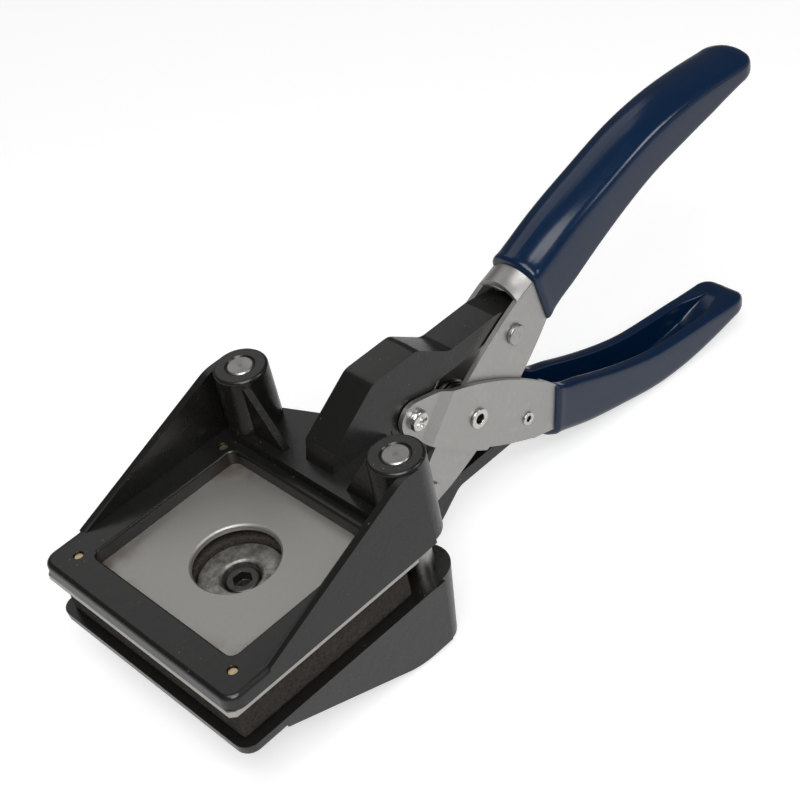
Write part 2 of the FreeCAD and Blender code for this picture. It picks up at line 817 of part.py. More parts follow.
def handle_stations(d):
    """Along the upper handle: X, its corner height, its rim height and its arch."""
    length = d.tip_x - d.lip_x
    return [(d.lip_x + share * length, d.highest_corner * corner + d.handle_lift * share,
             d.highest_corner * rim + d.handle_lift * share, d.crown_rise * arch)
            for share, corner, rim, arch in zip(
                STATION_SHARES, CORNER_SHARES, RIM_SHARES, ARCH_SHARES)]


def curve(points, place):
    line = Part.BSplineCurve()
    line.interpolate([place(point) for point in points])
    return line


def side_face(d, y):
    """The upper handle's whole side, from its pivot eye to its tip, as a face at y."""
    eye = d.link_end_dia / 2
    eye_x = d.front_pivot_x
    eye_z = -d.pivot_height
    stations = handle_stations(d)
    heel = (d.heel_x, d.heel_height)
    tops = [(x, corner) for x, corner, rim, arch in stations]
    rims = [(x, rim) for x, corner, rim, arch in stations[:1:-1]] + [heel]
    start = (eye_x - eye, eye_z)
    slant = eye / math.sqrt(2)
    front = [
        ((eye_x - eye * 0.9, eye_z + eye * 0.436), (eye_x - eye * 0.55, eye_z + eye * 0.835)),
        ((eye_x + d.neck_reach, eye_z + d.neck_rise),),
        ((d.centre_x, d.bend_height), tops[0]),
    ]
    rear = [
        ((d.centre_x + d.neck_rise, -d.pivot_height / 2),
         (eye_x + d.neck_rise * 0.75, eye_z - d.neck_rise * 0.37)),
        ((eye_x + eye * 0.2, eye_z - eye * 0.98),),
        ((eye_x - slant, eye_z - slant), start),
    ]

    def place(point):
        return Vector(point[0], y, point[1])
    edges = edges_along(start, front, place)
    edges.append(curve(tops, place))
    edges += edges_along(tops[-1], [(rims[0],)], place)
    edges.append(curve(rims, place))
    edges += edges_along(heel, rear, place)
    return Part.Face(Part.Wire([edge.toShape() for edge in edges]))


def side_plate(d, low, high):
    """The handle's side as a plate between two distances along Y."""
    return side_face(d, low).extrude(Vector(0, high - low, 0))


def web(d):
    """The arched web that joins the two sides of a handle."""
    half = d.inner_outside - d.web_inset
    sections = []
    for x, corner, rim, arch in handle_stations(d):
        low = corner - d.web_dip
        top = Part.Arc(Vector(x, half, low), Vector(x, 0, low + arch), Vector(x, -half, low))
        low = low - d.sheet
        under = Part.Arc(Vector(x, -half, low), Vector(x, 0, low + arch),
                         Vector(x, half, low))
        left = Part.LineSegment(top.EndPoint, under.StartPoint)
        right = Part.LineSegment(under.EndPoint, top.StartPoint)
        sections.append(Part.Wire([edge.toShape() for edge in (top, left, under, right)]))
    return Part.makeLoft(sections, True, False)


def cross_cylinder(x, z, radius, half_length):
    return Part.makeCylinder(radius, 2 * half_length, Vector(x, -half_length, z),
                             Vector(0, 1, 0))


def drill(shape, d, holes):
    for x, z, radius in holes:
        shape = shape.cut(cross_cylinder(x, z, radius, d.outer_outside + d.overrun))
    return shape


def upper_handle(doc, d):
    d = lever_sizes(d, 1)
    left = side_plate(d, d.inner_face, d.inner_outside)
    right = side_plate(d, -d.inner_outside, -d.inner_face)
    shape = web(d).fuse([left, right]).removeSplitter()
    fit = d.running_clearance
    shape = drill(shape, d, [
        (d.front_pivot_x, -d.pivot_height, d.lower_pivot_dia / 2 + fit),
        (d.centre_x, 0, d.centre_rivet_dia / 2 + fit),
        (d.slot_pin_x, d.slot_height, d.slot_pin_dia / 2 + fit),
    ])
    return feature(doc, "upper_handle", shape)


def slope_way(angle):
    """The direction that a line in the side view faces, turned up from the rear."""
    turn = math.radians(angle)
    return Vector(math.cos(turn), 0, math.sin(turn))


def beyond(d, point, angle):
    """Everything past a line in the side view, as one large block."""
    size = 2 * d.tip_x
    block = Part.makeBox(size, size, size, Vector(0, -size / 2, -size / 2))
    block.rotate(Vector(0, 0, 0), Vector(0, 1, 0), -angle)
    block.translate(Vector(point[0], 0, point[1]))
    return block


def step_strip(d, hand, point, angle, width, first, last):
    """The sloping strip of sheet that carries a cheek from one level to another."""
    way = slope_way(angle)
    along = Vector(way.z, 0, -way.x)
    origin = Vector(point[0], 0, point[1]) - along * d.tip_x
    side = Vector(0, hand, 0)
    corners = [
        origin + side * first,
        origin + side * (first + d.sheet),
        origin + way * width + side * (last + d.sheet),
        origin + way * width + side * last,
    ]
    wire = Part.makePolygon(corners + corners[:1])
    return Part.Face(wire).extrude(along * 2 * d.tip_x)


def joggled_side(d, hand):
    """One side of the lower handle, drawn in the upper handle's attitude. It is pressed
    outwards where it passes over the other handle, between two sloping strips."""
    def plate(inside, outside):
        low, high = sorted((hand * inside, hand * outside))
        return side_plate(d, low, high)
    inner = plate(d.inner_face, d.inner_outside)
    outer = plate(d.outer_face, d.outer_outside)
    whole = plate(d.arm_half_width, d.outer_outside + d.overrun)
    fore = Vector(d.fore_step_x, 0, d.fore_step_height)
    aft = Vector(d.aft_step_x, 0, d.aft_step_height)
    fore_end = fore + slope_way(d.fore_step_angle) * d.fore_step_width
    aft_end = aft + slope_way(d.aft_step_angle) * d.aft_step_width

    def past(place, angle):
        return beyond(d, (place.x, place.z), angle)
    pieces = [
        inner.cut(past(fore, d.fore_step_angle)),
        step_strip(d, hand, (fore.x, fore.z), d.fore_step_angle, d.fore_step_width,
                   d.inner_face, d.outer_face).common(whole),
        outer.common(past(fore_end, d.fore_step_angle)).cut(past(aft, d.aft_step_angle)),
        step_strip(d, hand, (aft.x, aft.z), d.aft_step_angle, d.aft_step_width,
                   d.outer_face, d.inner_face).common(whole),
        inner.common(past(aft_end, d.aft_step_angle)),
    ]
    return pieces[0].fuse(pieces[1:])


def mirror_down(shape):
    return shape.mirror(Vector(0, 0, 0), Vector(0, 0, 1))


def lower_handle(doc, d):
    d = lever_sizes(d, -1)
    sides = [joggled_side(d, hand) for hand in (1, -1)]
    shape = web(d).fuse(sides).removeSplitter()
    fit = d.running_clearance
    shape = drill(shape, d, [
        (d.front_pivot_x, -d.pivot_height, d.pivot_screw_dia / 2 + fit),
        (d.centre_x, 0, d.centre_rivet_dia / 2 + d.open_pivot_clearance),
        (d.slot_pin_x, d.slot_height, d.lower_slot_pin_dia / 2 + fit),
    ])
    return feature(doc, "lower_handle", mirror_down(shape))


def block_section(x, half_width, corner, rim, arch):
    """A closed cross-section: two upright sides under an arched top."""
    points = [Vector(x, half_width, rim), Vector(x, half_width, corner),
              Vector(x, -half_width, corner), Vector(x, -half_width, rim)]
    edges = [
        Part.LineSegment(points[0], points[1]),
        Part.Arc(points[1], Vector(x, 0, corner + arch), points[2]),
        Part.LineSegment(points[2], points[3]),
        Part.LineSegment(points[3], points[0]),
    ]
    return Part.Wire([edge.toShape() for edge in edges])


def skin_section(x, half_width, corner, rim, arch, top_radius, rim_radius):
    """A grip's outline across: upright sides under an arch, all four corners rounded."""
    turn = 2 * math.atan(arch / half_width)
    crown = (0, corner + arch)
    shoulder = corner_arc((half_width, rim), (half_width, corner),
                          (half_width - math.cos(turn), corner + math.sin(turn)), top_radius)
    foot = corner_arc((0, rim), (half_width, rim), (half_width, corner), rim_radius)
    far = [[(-y, z) for y, z in reversed(arc)] for arc in (shoulder, foot)]
    steps = [(shoulder[0],), (shoulder[1], shoulder[2]), (crown, far[0][0]),
             (far[0][1], far[0][2]), (far[1][0],), (far[1][1], far[1][2]), (foot[0],),
             (foot[1], foot[2])]

    def place(point):
        return Vector(x, point[0], point[1])
    return Part.Wire([edge.toShape() for edge in edges_along(foot[2], steps, place)])


def grip_skin(d):
    """The outside of a grip as one solid, with its rounded tip."""
    thick = d.grip_thickness
    lining = d.grip_lining
    outside = d.inner_outside + thick
    length = d.tip_x - d.lip_x
    sections = [skin_section(x, outside, corner + thick, rim - lining, arch,
                             d.grip_corner, d.grip_rim_corner)
                for x, corner, rim, arch in handle_stations(d)]
    end_x, end_corner, end_rim, end_arch = handle_stations(d)[-1]
    depth = end_corner + thick - end_rim + lining
    for share, width, close in zip(TIP_SHARES, TIP_WIDTH_SHARES, TIP_CLOSE_SHARES):
        sections.append(skin_section(
            d.lip_x + share * length, outside * width, end_corner + thick - close * depth,
            end_rim - lining + close * depth, end_arch * width,
            d.grip_corner * width, d.grip_rim_corner * width))
    return Part.makeLoft(sections, True, False)


def grip_hollow(d):
    """The open inside of a grip, as one solid that runs out below the rim."""
    half = d.inner_face - d.grip_lining
    share = (half / (d.inner_outside - d.web_inset)) ** 2
    stations = handle_stations(d)
    sections = []
    for x, corner, rim, arch in stations:
        end = 2 * d.grip_lining if x == stations[-1][0] else 0
        low = corner - d.web_dip - d.sheet - d.grip_lining + arch * (1 - share)
        sections.append(block_section(x - end, half, low, -d.highest_corner, arch * share))
    return Part.makeLoft(sections, True, False)


def grip(doc, d, label, handle, lower):
    """A dipped grip: a skin outside and inside the channel, closed at the tip."""
    d = lever_sizes(d, -1 if lower else 1)
    front = beyond(d, (d.grip_front_x, d.handle_base), d.grip_front_lean)
    shape = grip_skin(d).common(front).cut(grip_hollow(d))
    if lower:
        shape = mirror_down(shape)
    return feature(doc, label, shape.cut(handle.Shape))


# Rivets, screws and spring

def rivet(doc, label, x, z, half, shank, head, height, edge, bore=None):
    """A rivet across the tool with a head or flange at each end, hollow or solid."""
    inside = bore / 2 if bore else 0
    lip = edge if bore else 0
    body = turned(doc, label, [
        (inside, -half - height, lip), (head / 2, -half - height, edge), (head / 2, -half),
        (shank / 2, -half), (shank / 2, half), (head / 2, half),
        (head / 2, half + height, edge), (inside, half + height, lip)])
    body.Placement = across(x, z)
    return body


def rivets(doc, d):
    outer = d.outer_outside + d.flange_gap
    return [
        rivet(doc, "centre_rivet", d.centre_x, 0, outer, d.centre_rivet_dia,
              d.centre_flange_dia, d.centre_flange_height, d.flange_edge,
              d.centre_rivet_bore),
        rivet(doc, "upper_slot_rivet", d.slot_pin_x, d.slot_height, d.inner_outside,
              d.slot_pin_dia, d.slot_pin_head_dia, d.slot_pin_head_height,
              d.rivet_head_edge),
        rivet(doc, "lower_slot_rivet", d.slot_pin_x, -d.slot_height, d.inner_outside,
              d.lower_slot_pin_dia, d.lower_slot_flange_dia, d.lower_slot_flange_height,
              d.flange_edge, d.lower_slot_pin_bore),
        rivet(doc, "lower_pivot_rivet", d.front_pivot_x, -d.pivot_height,
              d.inner_outside, d.lower_pivot_dia, d.lower_pivot_head_dia,
              d.lower_pivot_head_height, d.rivet_head_edge),
    ]


def pivot_screw(doc, d):
    """The cross-recessed screw through the upper jaw, its head on the right."""
    shank = d.pivot_screw_dia / 2
    head = d.pivot_screw_head_dia / 2
    seat = d.inner_outside
    top = seat + d.pivot_screw_head_height
    end = -seat - d.pivot_nut_height - d.pivot_screw_end
    body = turned(doc, "pivot_screw", [
        (0, end), (shank, end), (shank, seat), (head, seat),
        (head, top, d.pivot_screw_head_edge), (0, top)])
    recess = sketch_on(body, "XY_Plane", "Sizes.arm_half_width + Sizes.cheek_gap"
                                         " + Sizes.sheet + Sizes.pivot_screw_head_height")
    half = d.cross_recess_width / 2
    reach = d.cross_recess_length / 2
    corners = [(reach, -half), (reach, half), (half, half), (half, reach), (-half, reach),
               (-half, half), (-reach, half), (-reach, -half), (-half, -half),
               (-half, -reach), (half, -reach), (half, -half)]
    draw(recess, corners[0], [(corner,) for corner in corners[1:]] + [(corners[0],)])
    cut_to(body, recess, "Sizes.cross_recess_depth")
    body.Placement = Placement(Vector(d.front_pivot_x, 0, d.pivot_height),
                               Rotation(Vector(1, 0, 0), 90))
    return body


def pivot_nut(doc, d):
    """The nut on the left end of the pivot screw."""
    body = new_body(doc, "pivot_nut")
    outline = sketch_on(body, "XY_Plane", "Sizes.arm_half_width + Sizes.cheek_gap + Sizes.sheet")
    draw(outline, *hexagon(d.pivot_nut_flats))
    pad(body, outline, "Sizes.pivot_nut_height")
    hole = sketch_on(body, "XY_Plane")
    draw_circle(hole, (0, 0), "Sizes.pivot_screw_dia + 2 * Sizes.press_clearance")
    cut_through(body, hole)
    body.Placement = across(d.front_pivot_x, d.pivot_height)
    return body


def spring_bush(doc, d):
    """The bush on the centre rivet that carries the spring's coil."""
    half = d.inner_face - d.bush_end_gap
    outside = d.coil_radius - d.wire_dia / 2 - d.bush_wall_gap
    inside = d.centre_rivet_dia / 2 + d.running_clearance
    body = turned(doc, "spring_bush", [
        (inside, -half), (outside, -half), (outside, half), (inside, half)])
    body.Placement = across(d.centre_x, 0)
    return body


def arc_between(start, corner, end):
    """The arc from start to end whose end tangents meet at the corner."""
    middle = (start + end) * 0.5
    rise = corner - middle
    half_chord = (end - start).Length / 2
    half_turn = math.atan2(rise.Length, half_chord)
    top = middle + rise.normalize() * (half_chord * math.tan(half_turn / 2))
    return Part.Arc(start, top, end).toShape()


def biarc(start, start_way, end, end_way):
    """Two tangent arcs between two points with their directions."""
    gap = end - start
    total = start_way + end_way
    spread = 2 * (1 - start_way.dot(end_way))
    along = gap.dot(total)
    reach = (-along + math.sqrt(along ** 2 + spread * gap.dot(gap))) / spread
    first = start + start_way * reach
    second = end - end_way * reach
    joint = (first + second) * 0.5
    return [arc_between(start, first, joint), arc_between(joint, second, end)]


def spring_path(d):
    """Leg, coil and leg of the return spring, as edges, and its turn in degrees."""
    leg_z = d.tail_underside - d.leg_gap - d.wire_dia / 2
    distance = math.hypot(d.leg_reach, leg_z)
    lean = math.degrees(math.atan2(leg_z, d.leg_reach))
    first = lean + math.degrees(math.acos(d.coil_radius / distance))
    total = 2 * (180 - first) + 360 * SPRING_FULL_TURNS
    start_y = d.coil_pitch * total / 720

    def point(angle):
        turn = math.radians(angle)
        return Vector(d.centre_x + d.coil_radius * math.cos(turn),
                      start_y - d.coil_pitch * (angle - first) / 360,
                      d.coil_radius * math.sin(turn))

    def way(angle):
        turn = math.radians(angle)
        step = -d.coil_pitch / (2 * math.pi)
        return Vector(-d.coil_radius * math.sin(turn), step,
                      d.coil_radius * math.cos(turn)).normalize()
    quarters = math.ceil(total / 90)
    angles = [first + total * index / quarters for index in range(quarters + 1)]
    length = math.sqrt(distance ** 2 - d.coil_radius ** 2)
    begin = point(angles[0]) - way(angles[0]) * length
    finish = point(angles[-1]) + way(angles[-1]) * length
    edges = [Part.LineSegment(begin, point(angles[0])).toShape()]
    for here, there in zip(angles, angles[1:]):
        edges += biarc(point(here), way(here), point(there), way(there))
    edges.append(Part.LineSegment(point(angles[-1]), finish).toShape())
    return edges


def return_spring(doc, d):
    edges = spring_path(d)
    path = Part.Wire(edges)
    start = edges[0].Vertexes[0].Point
    heading = edges[0].Vertexes[1].Point - start
    ring = Part.Wire([Part.Circle(start, heading, d.wire_dia / 2).toShape()])
    shell = Part.BRepOffsetAPI.MakePipeShell(path)
    shell.add(ring, False, False)
    shell.build()
    shell.makeSolid()
    solid = shell.shape()
    if solid.Volume < 0:
        solid.reverse()
    print_spring(d, path, solid)
    return feature(doc, "return_spring", solid)


def print_spring(d, path, solid):
    """Print the coil's least gap to itself and its volume against its length."""
    points = path.discretize(Distance=d.wire_dia / 4)
    apart = 3 * d.wire_dia
    travelled = [0.0]
    for here, there in zip(points, points[1:]):
        travelled.append(travelled[-1] + (there - here).Length)
    least = min((points[i] - points[j]).Length
                for i in range(len(points)) for j in range(i)
                if travelled[i] - travelled[j] > apart)
    expected = math.pi * d.wire_dia ** 2 / 4 * path.Length
    print("return spring: least gap to itself", round(least - d.wire_dia, 3), "mm, volume",
          round(solid.Volume, 2), "of", round(expected, 2))


# Assembly

def build(doc, d):
    top = upper_handle(doc, d)
    bottom = lower_handle(doc, d)
    return [
        lower_casting(doc, d), upper_casting(doc, d), die_plate(doc, d),
        die_plate_screws(doc, d), punch(doc, d), punch_screw(doc, d), stripper_pad(doc, d),
        guide_post(doc, d, 1), guide_post(doc, d, -1), top, bottom,
        grip(doc, d, "upper_grip", top, False), grip(doc, d, "lower_grip", bottom, True),
        pivot_screw(doc, d), pivot_nut(doc, d), spring_bush(doc, d), return_spring(doc, d),
    ] + rivets(doc, d)


def check(doc, pieces):
    """Stop if any feature failed or any piece isn't a sound solid."""
    for item in doc.Objects:
        if "Invalid" in item.State or "Error" in item.State:
            raise ValueError(item.Label + " failed: " + str(item.State))
    for piece in pieces:
        shape = piece.Shape
        if shape.isNull() or not shape.isValid() or not shape.Solids:
            raise ValueError(piece.Label + " has no valid solid")


def stand_on_floor(doc, d, pieces):
    """Move the tool so that its lowest point and middle are at the origin."""
    boxes = [piece.Shape.optimalBoundingBox(False) for piece in pieces]
    low_x = min(box.XMin for box in boxes)
    high_x = max(box.XMax for box in boxes)
    low_z = min(box.ZMin for box in boxes)
    shift = Vector(-(low_x + high_x) / 2, 0, -low_z)
    for piece in pieces:
        place = piece.Placement
        piece.Placement = Placement(place.Base + shift, place.Rotation)
    doc.recompute()
    print("moved by", [round(value, 4) for value in shift])


def main():
    os.makedirs("parts", exist_ok=True)
    doc = FreeCAD.newDocument("card_cutter")
    d = add_places(make_sheet(doc))
    pieces = build(doc, d)
    doc.recompute()
    check(doc, pieces)
    stand_on_floor(doc, d, pieces)
    check(doc, pieces)
    for piece in pieces:
        piece.Shape.exportStep("parts/" + piece.Label + ".step")
        print(piece.Label, len(piece.Shape.Solids), round(piece.Shape.Volume, 1))


main()
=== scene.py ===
import math

import bmesh
import bpy
import numpy as np
from bpy.props import FloatProperty, FloatVectorProperty, IntProperty, PointerProperty
from mathutils import Matrix, Vector, noise


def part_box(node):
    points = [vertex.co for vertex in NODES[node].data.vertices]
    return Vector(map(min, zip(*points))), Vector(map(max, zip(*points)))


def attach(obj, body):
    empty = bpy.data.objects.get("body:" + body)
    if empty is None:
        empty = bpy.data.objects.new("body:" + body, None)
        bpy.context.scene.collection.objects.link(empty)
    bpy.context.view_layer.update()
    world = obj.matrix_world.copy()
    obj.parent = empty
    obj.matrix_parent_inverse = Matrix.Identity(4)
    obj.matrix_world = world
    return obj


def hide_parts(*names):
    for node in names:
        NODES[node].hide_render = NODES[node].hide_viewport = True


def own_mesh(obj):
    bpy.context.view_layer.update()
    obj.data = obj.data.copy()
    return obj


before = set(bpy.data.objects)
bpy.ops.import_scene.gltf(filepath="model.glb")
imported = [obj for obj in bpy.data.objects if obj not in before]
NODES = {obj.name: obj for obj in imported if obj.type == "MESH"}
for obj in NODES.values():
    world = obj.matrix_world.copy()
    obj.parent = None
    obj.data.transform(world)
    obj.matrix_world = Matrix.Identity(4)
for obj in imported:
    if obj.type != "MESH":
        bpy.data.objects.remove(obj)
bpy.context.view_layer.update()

bl_info = {
    "name": "Card Die Cutter",
    "version": (1, 0, 0),
    "blender": (4, 5, 0),
    "location": "3D View > Sidebar > Die Cutter",
    "description": "Dresses a plier-type card die cutter, from castings to grips",
    "category": "Object",
}

MM = 0.001

# The die axis and the plane midway between the jaws, in the row frame.
DIE_X = (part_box("punch")[0].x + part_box("punch")[1].x) / 2
MID_Z = (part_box("upper_casting")[0].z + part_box("lower_casting")[1].z) / 2


def at(x, y, z):
    """A point given in millimetres from the die axis and the plane between the jaws."""
    return Vector((DIE_X + x * MM, y * MM, MID_Z + z * MM))


# Shader maths: a socket that takes part in plain expressions


class Flow:
    """A socket of a material's node tree, on which arithmetic adds Math nodes."""

    def __init__(self, paint, socket):
        self.paint = paint
        self.socket = socket

    def math(self, operation, *others):
        """A Math node that takes this socket first."""
        return self.paint.math(operation, self, *others)

    def __add__(self, other):
        return self.math("ADD", other)

    __radd__ = __add__

    def __mul__(self, other):
        return self.math("MULTIPLY", other)

    __rmul__ = __mul__

    def __sub__(self, other):
        return self.math("SUBTRACT", other)

    def __rsub__(self, other):
        return self.paint.math("SUBTRACT", other, self)

    def __pow__(self, other):
        return self.math("POWER", other)

    def __rpow__(self, other):
        return self.paint.math("POWER", other, self)

    def step(self, low, high):
        """0 below low, 1 above high and a smooth rise between them."""
        return self.paint.node(
            "ShaderNodeMapRange",
            {"interpolation_type": "SMOOTHSTEP"},
            {"Value": self, "From Min": low, "From Max": high},
        )

    def between(self, low, high):
        """The value from 0 to 1 stretched to run from low to high."""
        return self * (high - low) + low


# Places of a Mix node's factor, first and second input and output for each data type.
MIX_SOCKETS = {"RGBA": (0, 6, 7, 2), "FLOAT": (0, 2, 3, 0)}


class Paint:
    """A material or the world under construction, its nodes made from one method."""

    def __init__(self, name, world=None):
        self.material = world or bpy.data.materials.new(name)
        self.material.use_nodes = True
        self.tree = self.material.node_tree
        self.shader = self.tree.nodes["Background" if world else "Principled BSDF"]

    def node(self, kind, settings, inputs, output=0):
        """A node of this kind: first its settings, then its inputs' values or links."""
        node = self.tree.nodes.new(kind)
        for name, value in settings.items():
            setattr(node, name, value)
        pairs = inputs.items() if isinstance(inputs, dict) else enumerate(inputs)
        for key, value in pairs:
            self.plug(node.inputs[key], value)
        return Flow(self, node.outputs[output])

    def plug(self, socket, value):
        """Link a Flow to the socket, or set a plain value on it."""
        if isinstance(value, Flow):
            self.tree.links.new(value.socket, socket)
        else:
            socket.default_value = value

    def math(self, operation, *values):
        return self.node("ShaderNodeMath", {"operation": operation}, values)

    def place(self):
        """The piece's own coordinates, in metres."""
        return self.node("ShaderNodeTexCoord", {}, [], "Object")

    def axis(self, number, vector=None):
        """One part of a vector: 0 for x, 1 for y, 2 for z."""
        return self.node("ShaderNodeSeparateXYZ", {}, [vector or self.place()], number)

    def coordinates(self, scale=(1, 1, 1)):
        """The same coordinates, each multiplied by its part of scale."""
        return self.node(
            "ShaderNodeMapping", {}, {"Vector": self.place(), "Scale": scale}
        )

    def noise(self, size, detail=3.0, rough=0.5, stretch=(1, 1, 1)):
        """Cloudy noise whose grains are about size metres across."""
        return self.node(
            "ShaderNodeTexNoise",
            {},
            {
                "Vector": self.coordinates(stretch),
                "Scale": 1 / size,
                "Detail": detail,
                "Roughness": rough,
            },
        )

    def cells(self, size):
        """Distance to the nearest of points about size metres apart."""
        return self.node(
            "ShaderNodeTexVoronoi",
            {},
            {"Vector": self.coordinates(), "Scale": 1 / size},
        )

    def mix(self, first, second, share, kind="RGBA"):
        """The first colour or number at share 0, the second at share 1."""
        factor, start, end, output = MIX_SOCKETS[kind]
        return self.node(
            "ShaderNodeMix",
            {"data_type": kind},
            {factor: share, start: first, end: second},
            output,
        )

    def bump(self, height, strength, distance):
        """A normal that follows the height, distance metres deep at height 1."""
        return self.node(
            "ShaderNodeBump",
            {},
            {"Height": height, "Strength": strength, "Distance": distance},
        )

    def normal_z(self):
        """How far the surface faces up, from -1 to 1."""
        normal = self.node("ShaderNodeNewGeometry", {}, [], "Normal")
        return self.axis(2, normal)

    def finish(self, plain, **varying):
        """Set the shader's plain values and link what varies over the surface."""
        for name, value in {**plain, **varying}.items():
            self.plug(self.shader.inputs[name.replace("_", " ")], value)
        return self.material


def rgba(colour, share=1.0):
    """A colour of three parts, made lighter or darker, as four parts."""
    return (colour[0] * share, colour[1] * share, colour[2] * share, 1.0)


# Materials


def enamel_paint(looks):
    """Black gloss enamel over a casting: orange peel and sparse dust specks."""
    paint = Paint("cast enamel")
    peel = paint.noise(0.0014, detail=3.0, rough=0.5)
    grain = paint.noise(0.0005, detail=3.0, rough=0.6)
    swell = paint.noise(0.010, detail=2.0, rough=0.5)
    film = paint.noise(0.0035, detail=4.0, rough=0.6)
    where = paint.noise(0.02, detail=2.0, rough=0.5)
    specks = paint.cells(0.0021)
    dust = (1.0 - specks.step(0.05, 0.10)) * where.step(0.52, 0.62)
    colour = paint.mix(rgba(looks.enamel), rgba(looks.enamel, 1.25), film)
    colour = paint.mix(colour, rgba(looks.dust), dust * 0.6)
    height = swell * 1.0 + peel * 0.30 + grain * 0.06 + dust * 0.05
    return paint.finish(
        {"IOR": 1.5, "Coat Roughness": 0.12},
        Base_Color=colour,
        Roughness=film.between(0.25, 0.31) + dust * 0.4,
        Coat_Weight=0.08,
        Normal=paint.bump(height, strength=0.30, distance=0.0005),
    )


def plate_steel(looks, name, stain):
    """Matte ground steel, brown towards its corners; stain darkens it in blotches."""
    paint = Paint(name)
    grain = paint.noise(0.00025, detail=3.0, rough=0.6, stretch=(0.2, 1, 1))
    fine = paint.noise(0.0004, detail=4.0, rough=0.7)
    bloom = paint.noise(0.012, detail=3.0, rough=0.6)
    spots = paint.noise(0.003, detail=5.0, rough=0.65)
    away = paint.node(
        "ShaderNodeVectorMath",
        {"operation": "DISTANCE"},
        [paint.place(), (DIE_X, 0.0, MID_Z)],
        1,
    )
    top = paint.normal_z().step(0.6, 0.95)
    corner = away.step(0.026, 0.038) * bloom.step(0.38, 0.60) * top
    colour = paint.mix(rgba(looks.steel, 0.88), rgba(looks.steel, 1.08), grain)
    colour = paint.mix(colour, rgba(looks.tarnish), corner * 0.7)
    colour = paint.mix(colour, rgba(looks.stain), spots.step(0.30, 0.68) * stain)
    return paint.finish(
        {},
        Base_Color=colour,
        Metallic=0.9,
        Roughness=fine * 0.10 + grain * 0.08 + 0.42,
        Normal=paint.bump(grain + fine * 0.6, strength=0.10, distance=0.00006),
    )


# Turned rings on a post's end, in radians per metre of its radius.
RING_TURNS = 15000.0


def post_steel(looks, centre):
    """A turned and ground post, with fine rings on its flat end."""
    paint = Paint("turned steel")
    along = paint.axis(0) - centre.x
    across = paint.axis(1).math("ABSOLUTE") - centre.y
    radius = (along * along + across * across) ** 0.5
    rings = (radius * RING_TURNS).math("SINE")
    fine = paint.noise(0.0006, detail=4.0, rough=0.7)
    core = 1.0 - radius.step(0.0004, 0.0012)
    colour = paint.mix(rgba(looks.post, 1.08), rgba(looks.post, 0.85), fine)
    colour = paint.mix(colour, rgba(looks.tarnish), core * 0.4)
    return paint.finish(
        {},
        Base_Color=colour,
        Metallic=1.0,
        Roughness=fine.between(0.26, 0.40),
        Normal=paint.bump(rings, strength=0.35, distance=0.00004),
    )


def sheet_steel(looks):
    """Plated pressed sheet with a faint rolled grain and light scuffs."""
    paint = Paint("plated sheet steel")
    grain = paint.noise(0.0005, detail=4.0, rough=0.65, stretch=(1, 1, 0.25))
    cloud = paint.noise(0.006, detail=5.0, rough=0.65)
    scuff = paint.noise(0.0018, detail=6.0, rough=0.75)
    colour = paint.mix(rgba(looks.sheet, 0.86), rgba(looks.sheet, 1.10), grain)
    colour = paint.mix(colour, rgba(looks.sheet, 1.20), cloud.step(0.52, 0.72) * 0.4)
    colour = paint.mix(colour, rgba(looks.sheet, 0.78), scuff.step(0.60, 0.80) * 0.5)
    return paint.finish(
        {},
        Base_Color=colour,
        Metallic=0.88,
        Roughness=cloud * 0.10 + grain * 0.06 + 0.33,
        Normal=paint.bump(grain + scuff * 0.4, strength=0.10, distance=0.00006),
    )


def bright_metal(name, colour, low, high):
    """Small plated hardware: bright, with fine scratches and a little grime."""
    paint = Paint(name)
    scratch = paint.noise(0.0005, detail=5.0, rough=0.7)
    grime = paint.noise(0.0016, detail=4.0, rough=0.6)
    tone = paint.mix(rgba(colour), rgba(colour, 0.55), grime.step(0.50, 0.78))
    return paint.finish(
        {},
        Base_Color=tone,
        Metallic=1.0,
        Roughness=scratch.between(low, high),
        Normal=paint.bump(scratch, strength=0.12, distance=0.00005),
    )


def vinyl(looks):
    """Dipped navy vinyl: a gloss skin with slow waves, fine pimples and dull rubs."""
    paint = Paint("dipped vinyl")
    wave = paint.noise(0.016, detail=2.0, rough=0.5, stretch=(0.4, 1, 1))
    skin = paint.noise(0.0008, detail=3.0, rough=0.6)
    rubs = paint.noise(0.004, detail=6.0, rough=0.75)
    colour = paint.mix(rgba(looks.vinyl), rgba(looks.vinyl, 1.3), wave)
    colour = paint.mix(colour, rgba(looks.vinyl, 1.9), rubs.step(0.60, 0.76) * 0.5)
    return paint.finish(
        {"IOR": 1.5},
        Base_Color=colour,
        Roughness=rubs.between(0.12, 0.24),
        Normal=paint.bump(wave + skin * 0.03, strength=0.16, distance=0.0006),
    )


def foam_skin(looks):
    """Open-cell rubber foam: dark, dusty and full of small pores, with painted shade in
    the pores.
    """
    paint = Paint("cellular foam")
    pores = paint.cells(0.0011)
    small = paint.cells(0.0005)
    dust = paint.noise(0.0020, detail=5.0, rough=0.7)
    # Painted shade: the foam is darkened towards the centre of each pore, where the
    # bump sinks its pits.
    pore_shade = 1.0 - pores.step(0.0, 0.42)
    colour = paint.mix(rgba(looks.foam), rgba(looks.foam, 0.35), pore_shade)
    colour = paint.mix(colour, rgba(looks.foam, 1.9), dust.step(0.48, 0.78) * 0.7)
    return paint.finish(
        {"IOR": 1.4, "Specular IOR Level": 0.25},
        Base_Color=colour,
        Roughness=0.95,
        Normal=paint.bump(pores + small * 0.5, strength=0.8, distance=0.0004),
    )


def moulded_plastic(looks):
    """Fine matte skin of the spring's bush."""
    paint = Paint("moulded plastic")
    skin = paint.noise(0.0005, detail=4.0, rough=0.6)
    colour = paint.mix(rgba(looks.plastic), rgba(looks.worn_plastic), skin)
    return paint.finish(
        {"IOR": 1.46},
        Base_Color=colour,
        Roughness=skin.between(0.45, 0.6),
        Normal=paint.bump(skin, strength=0.15, distance=0.0001),
    )


# Meshes

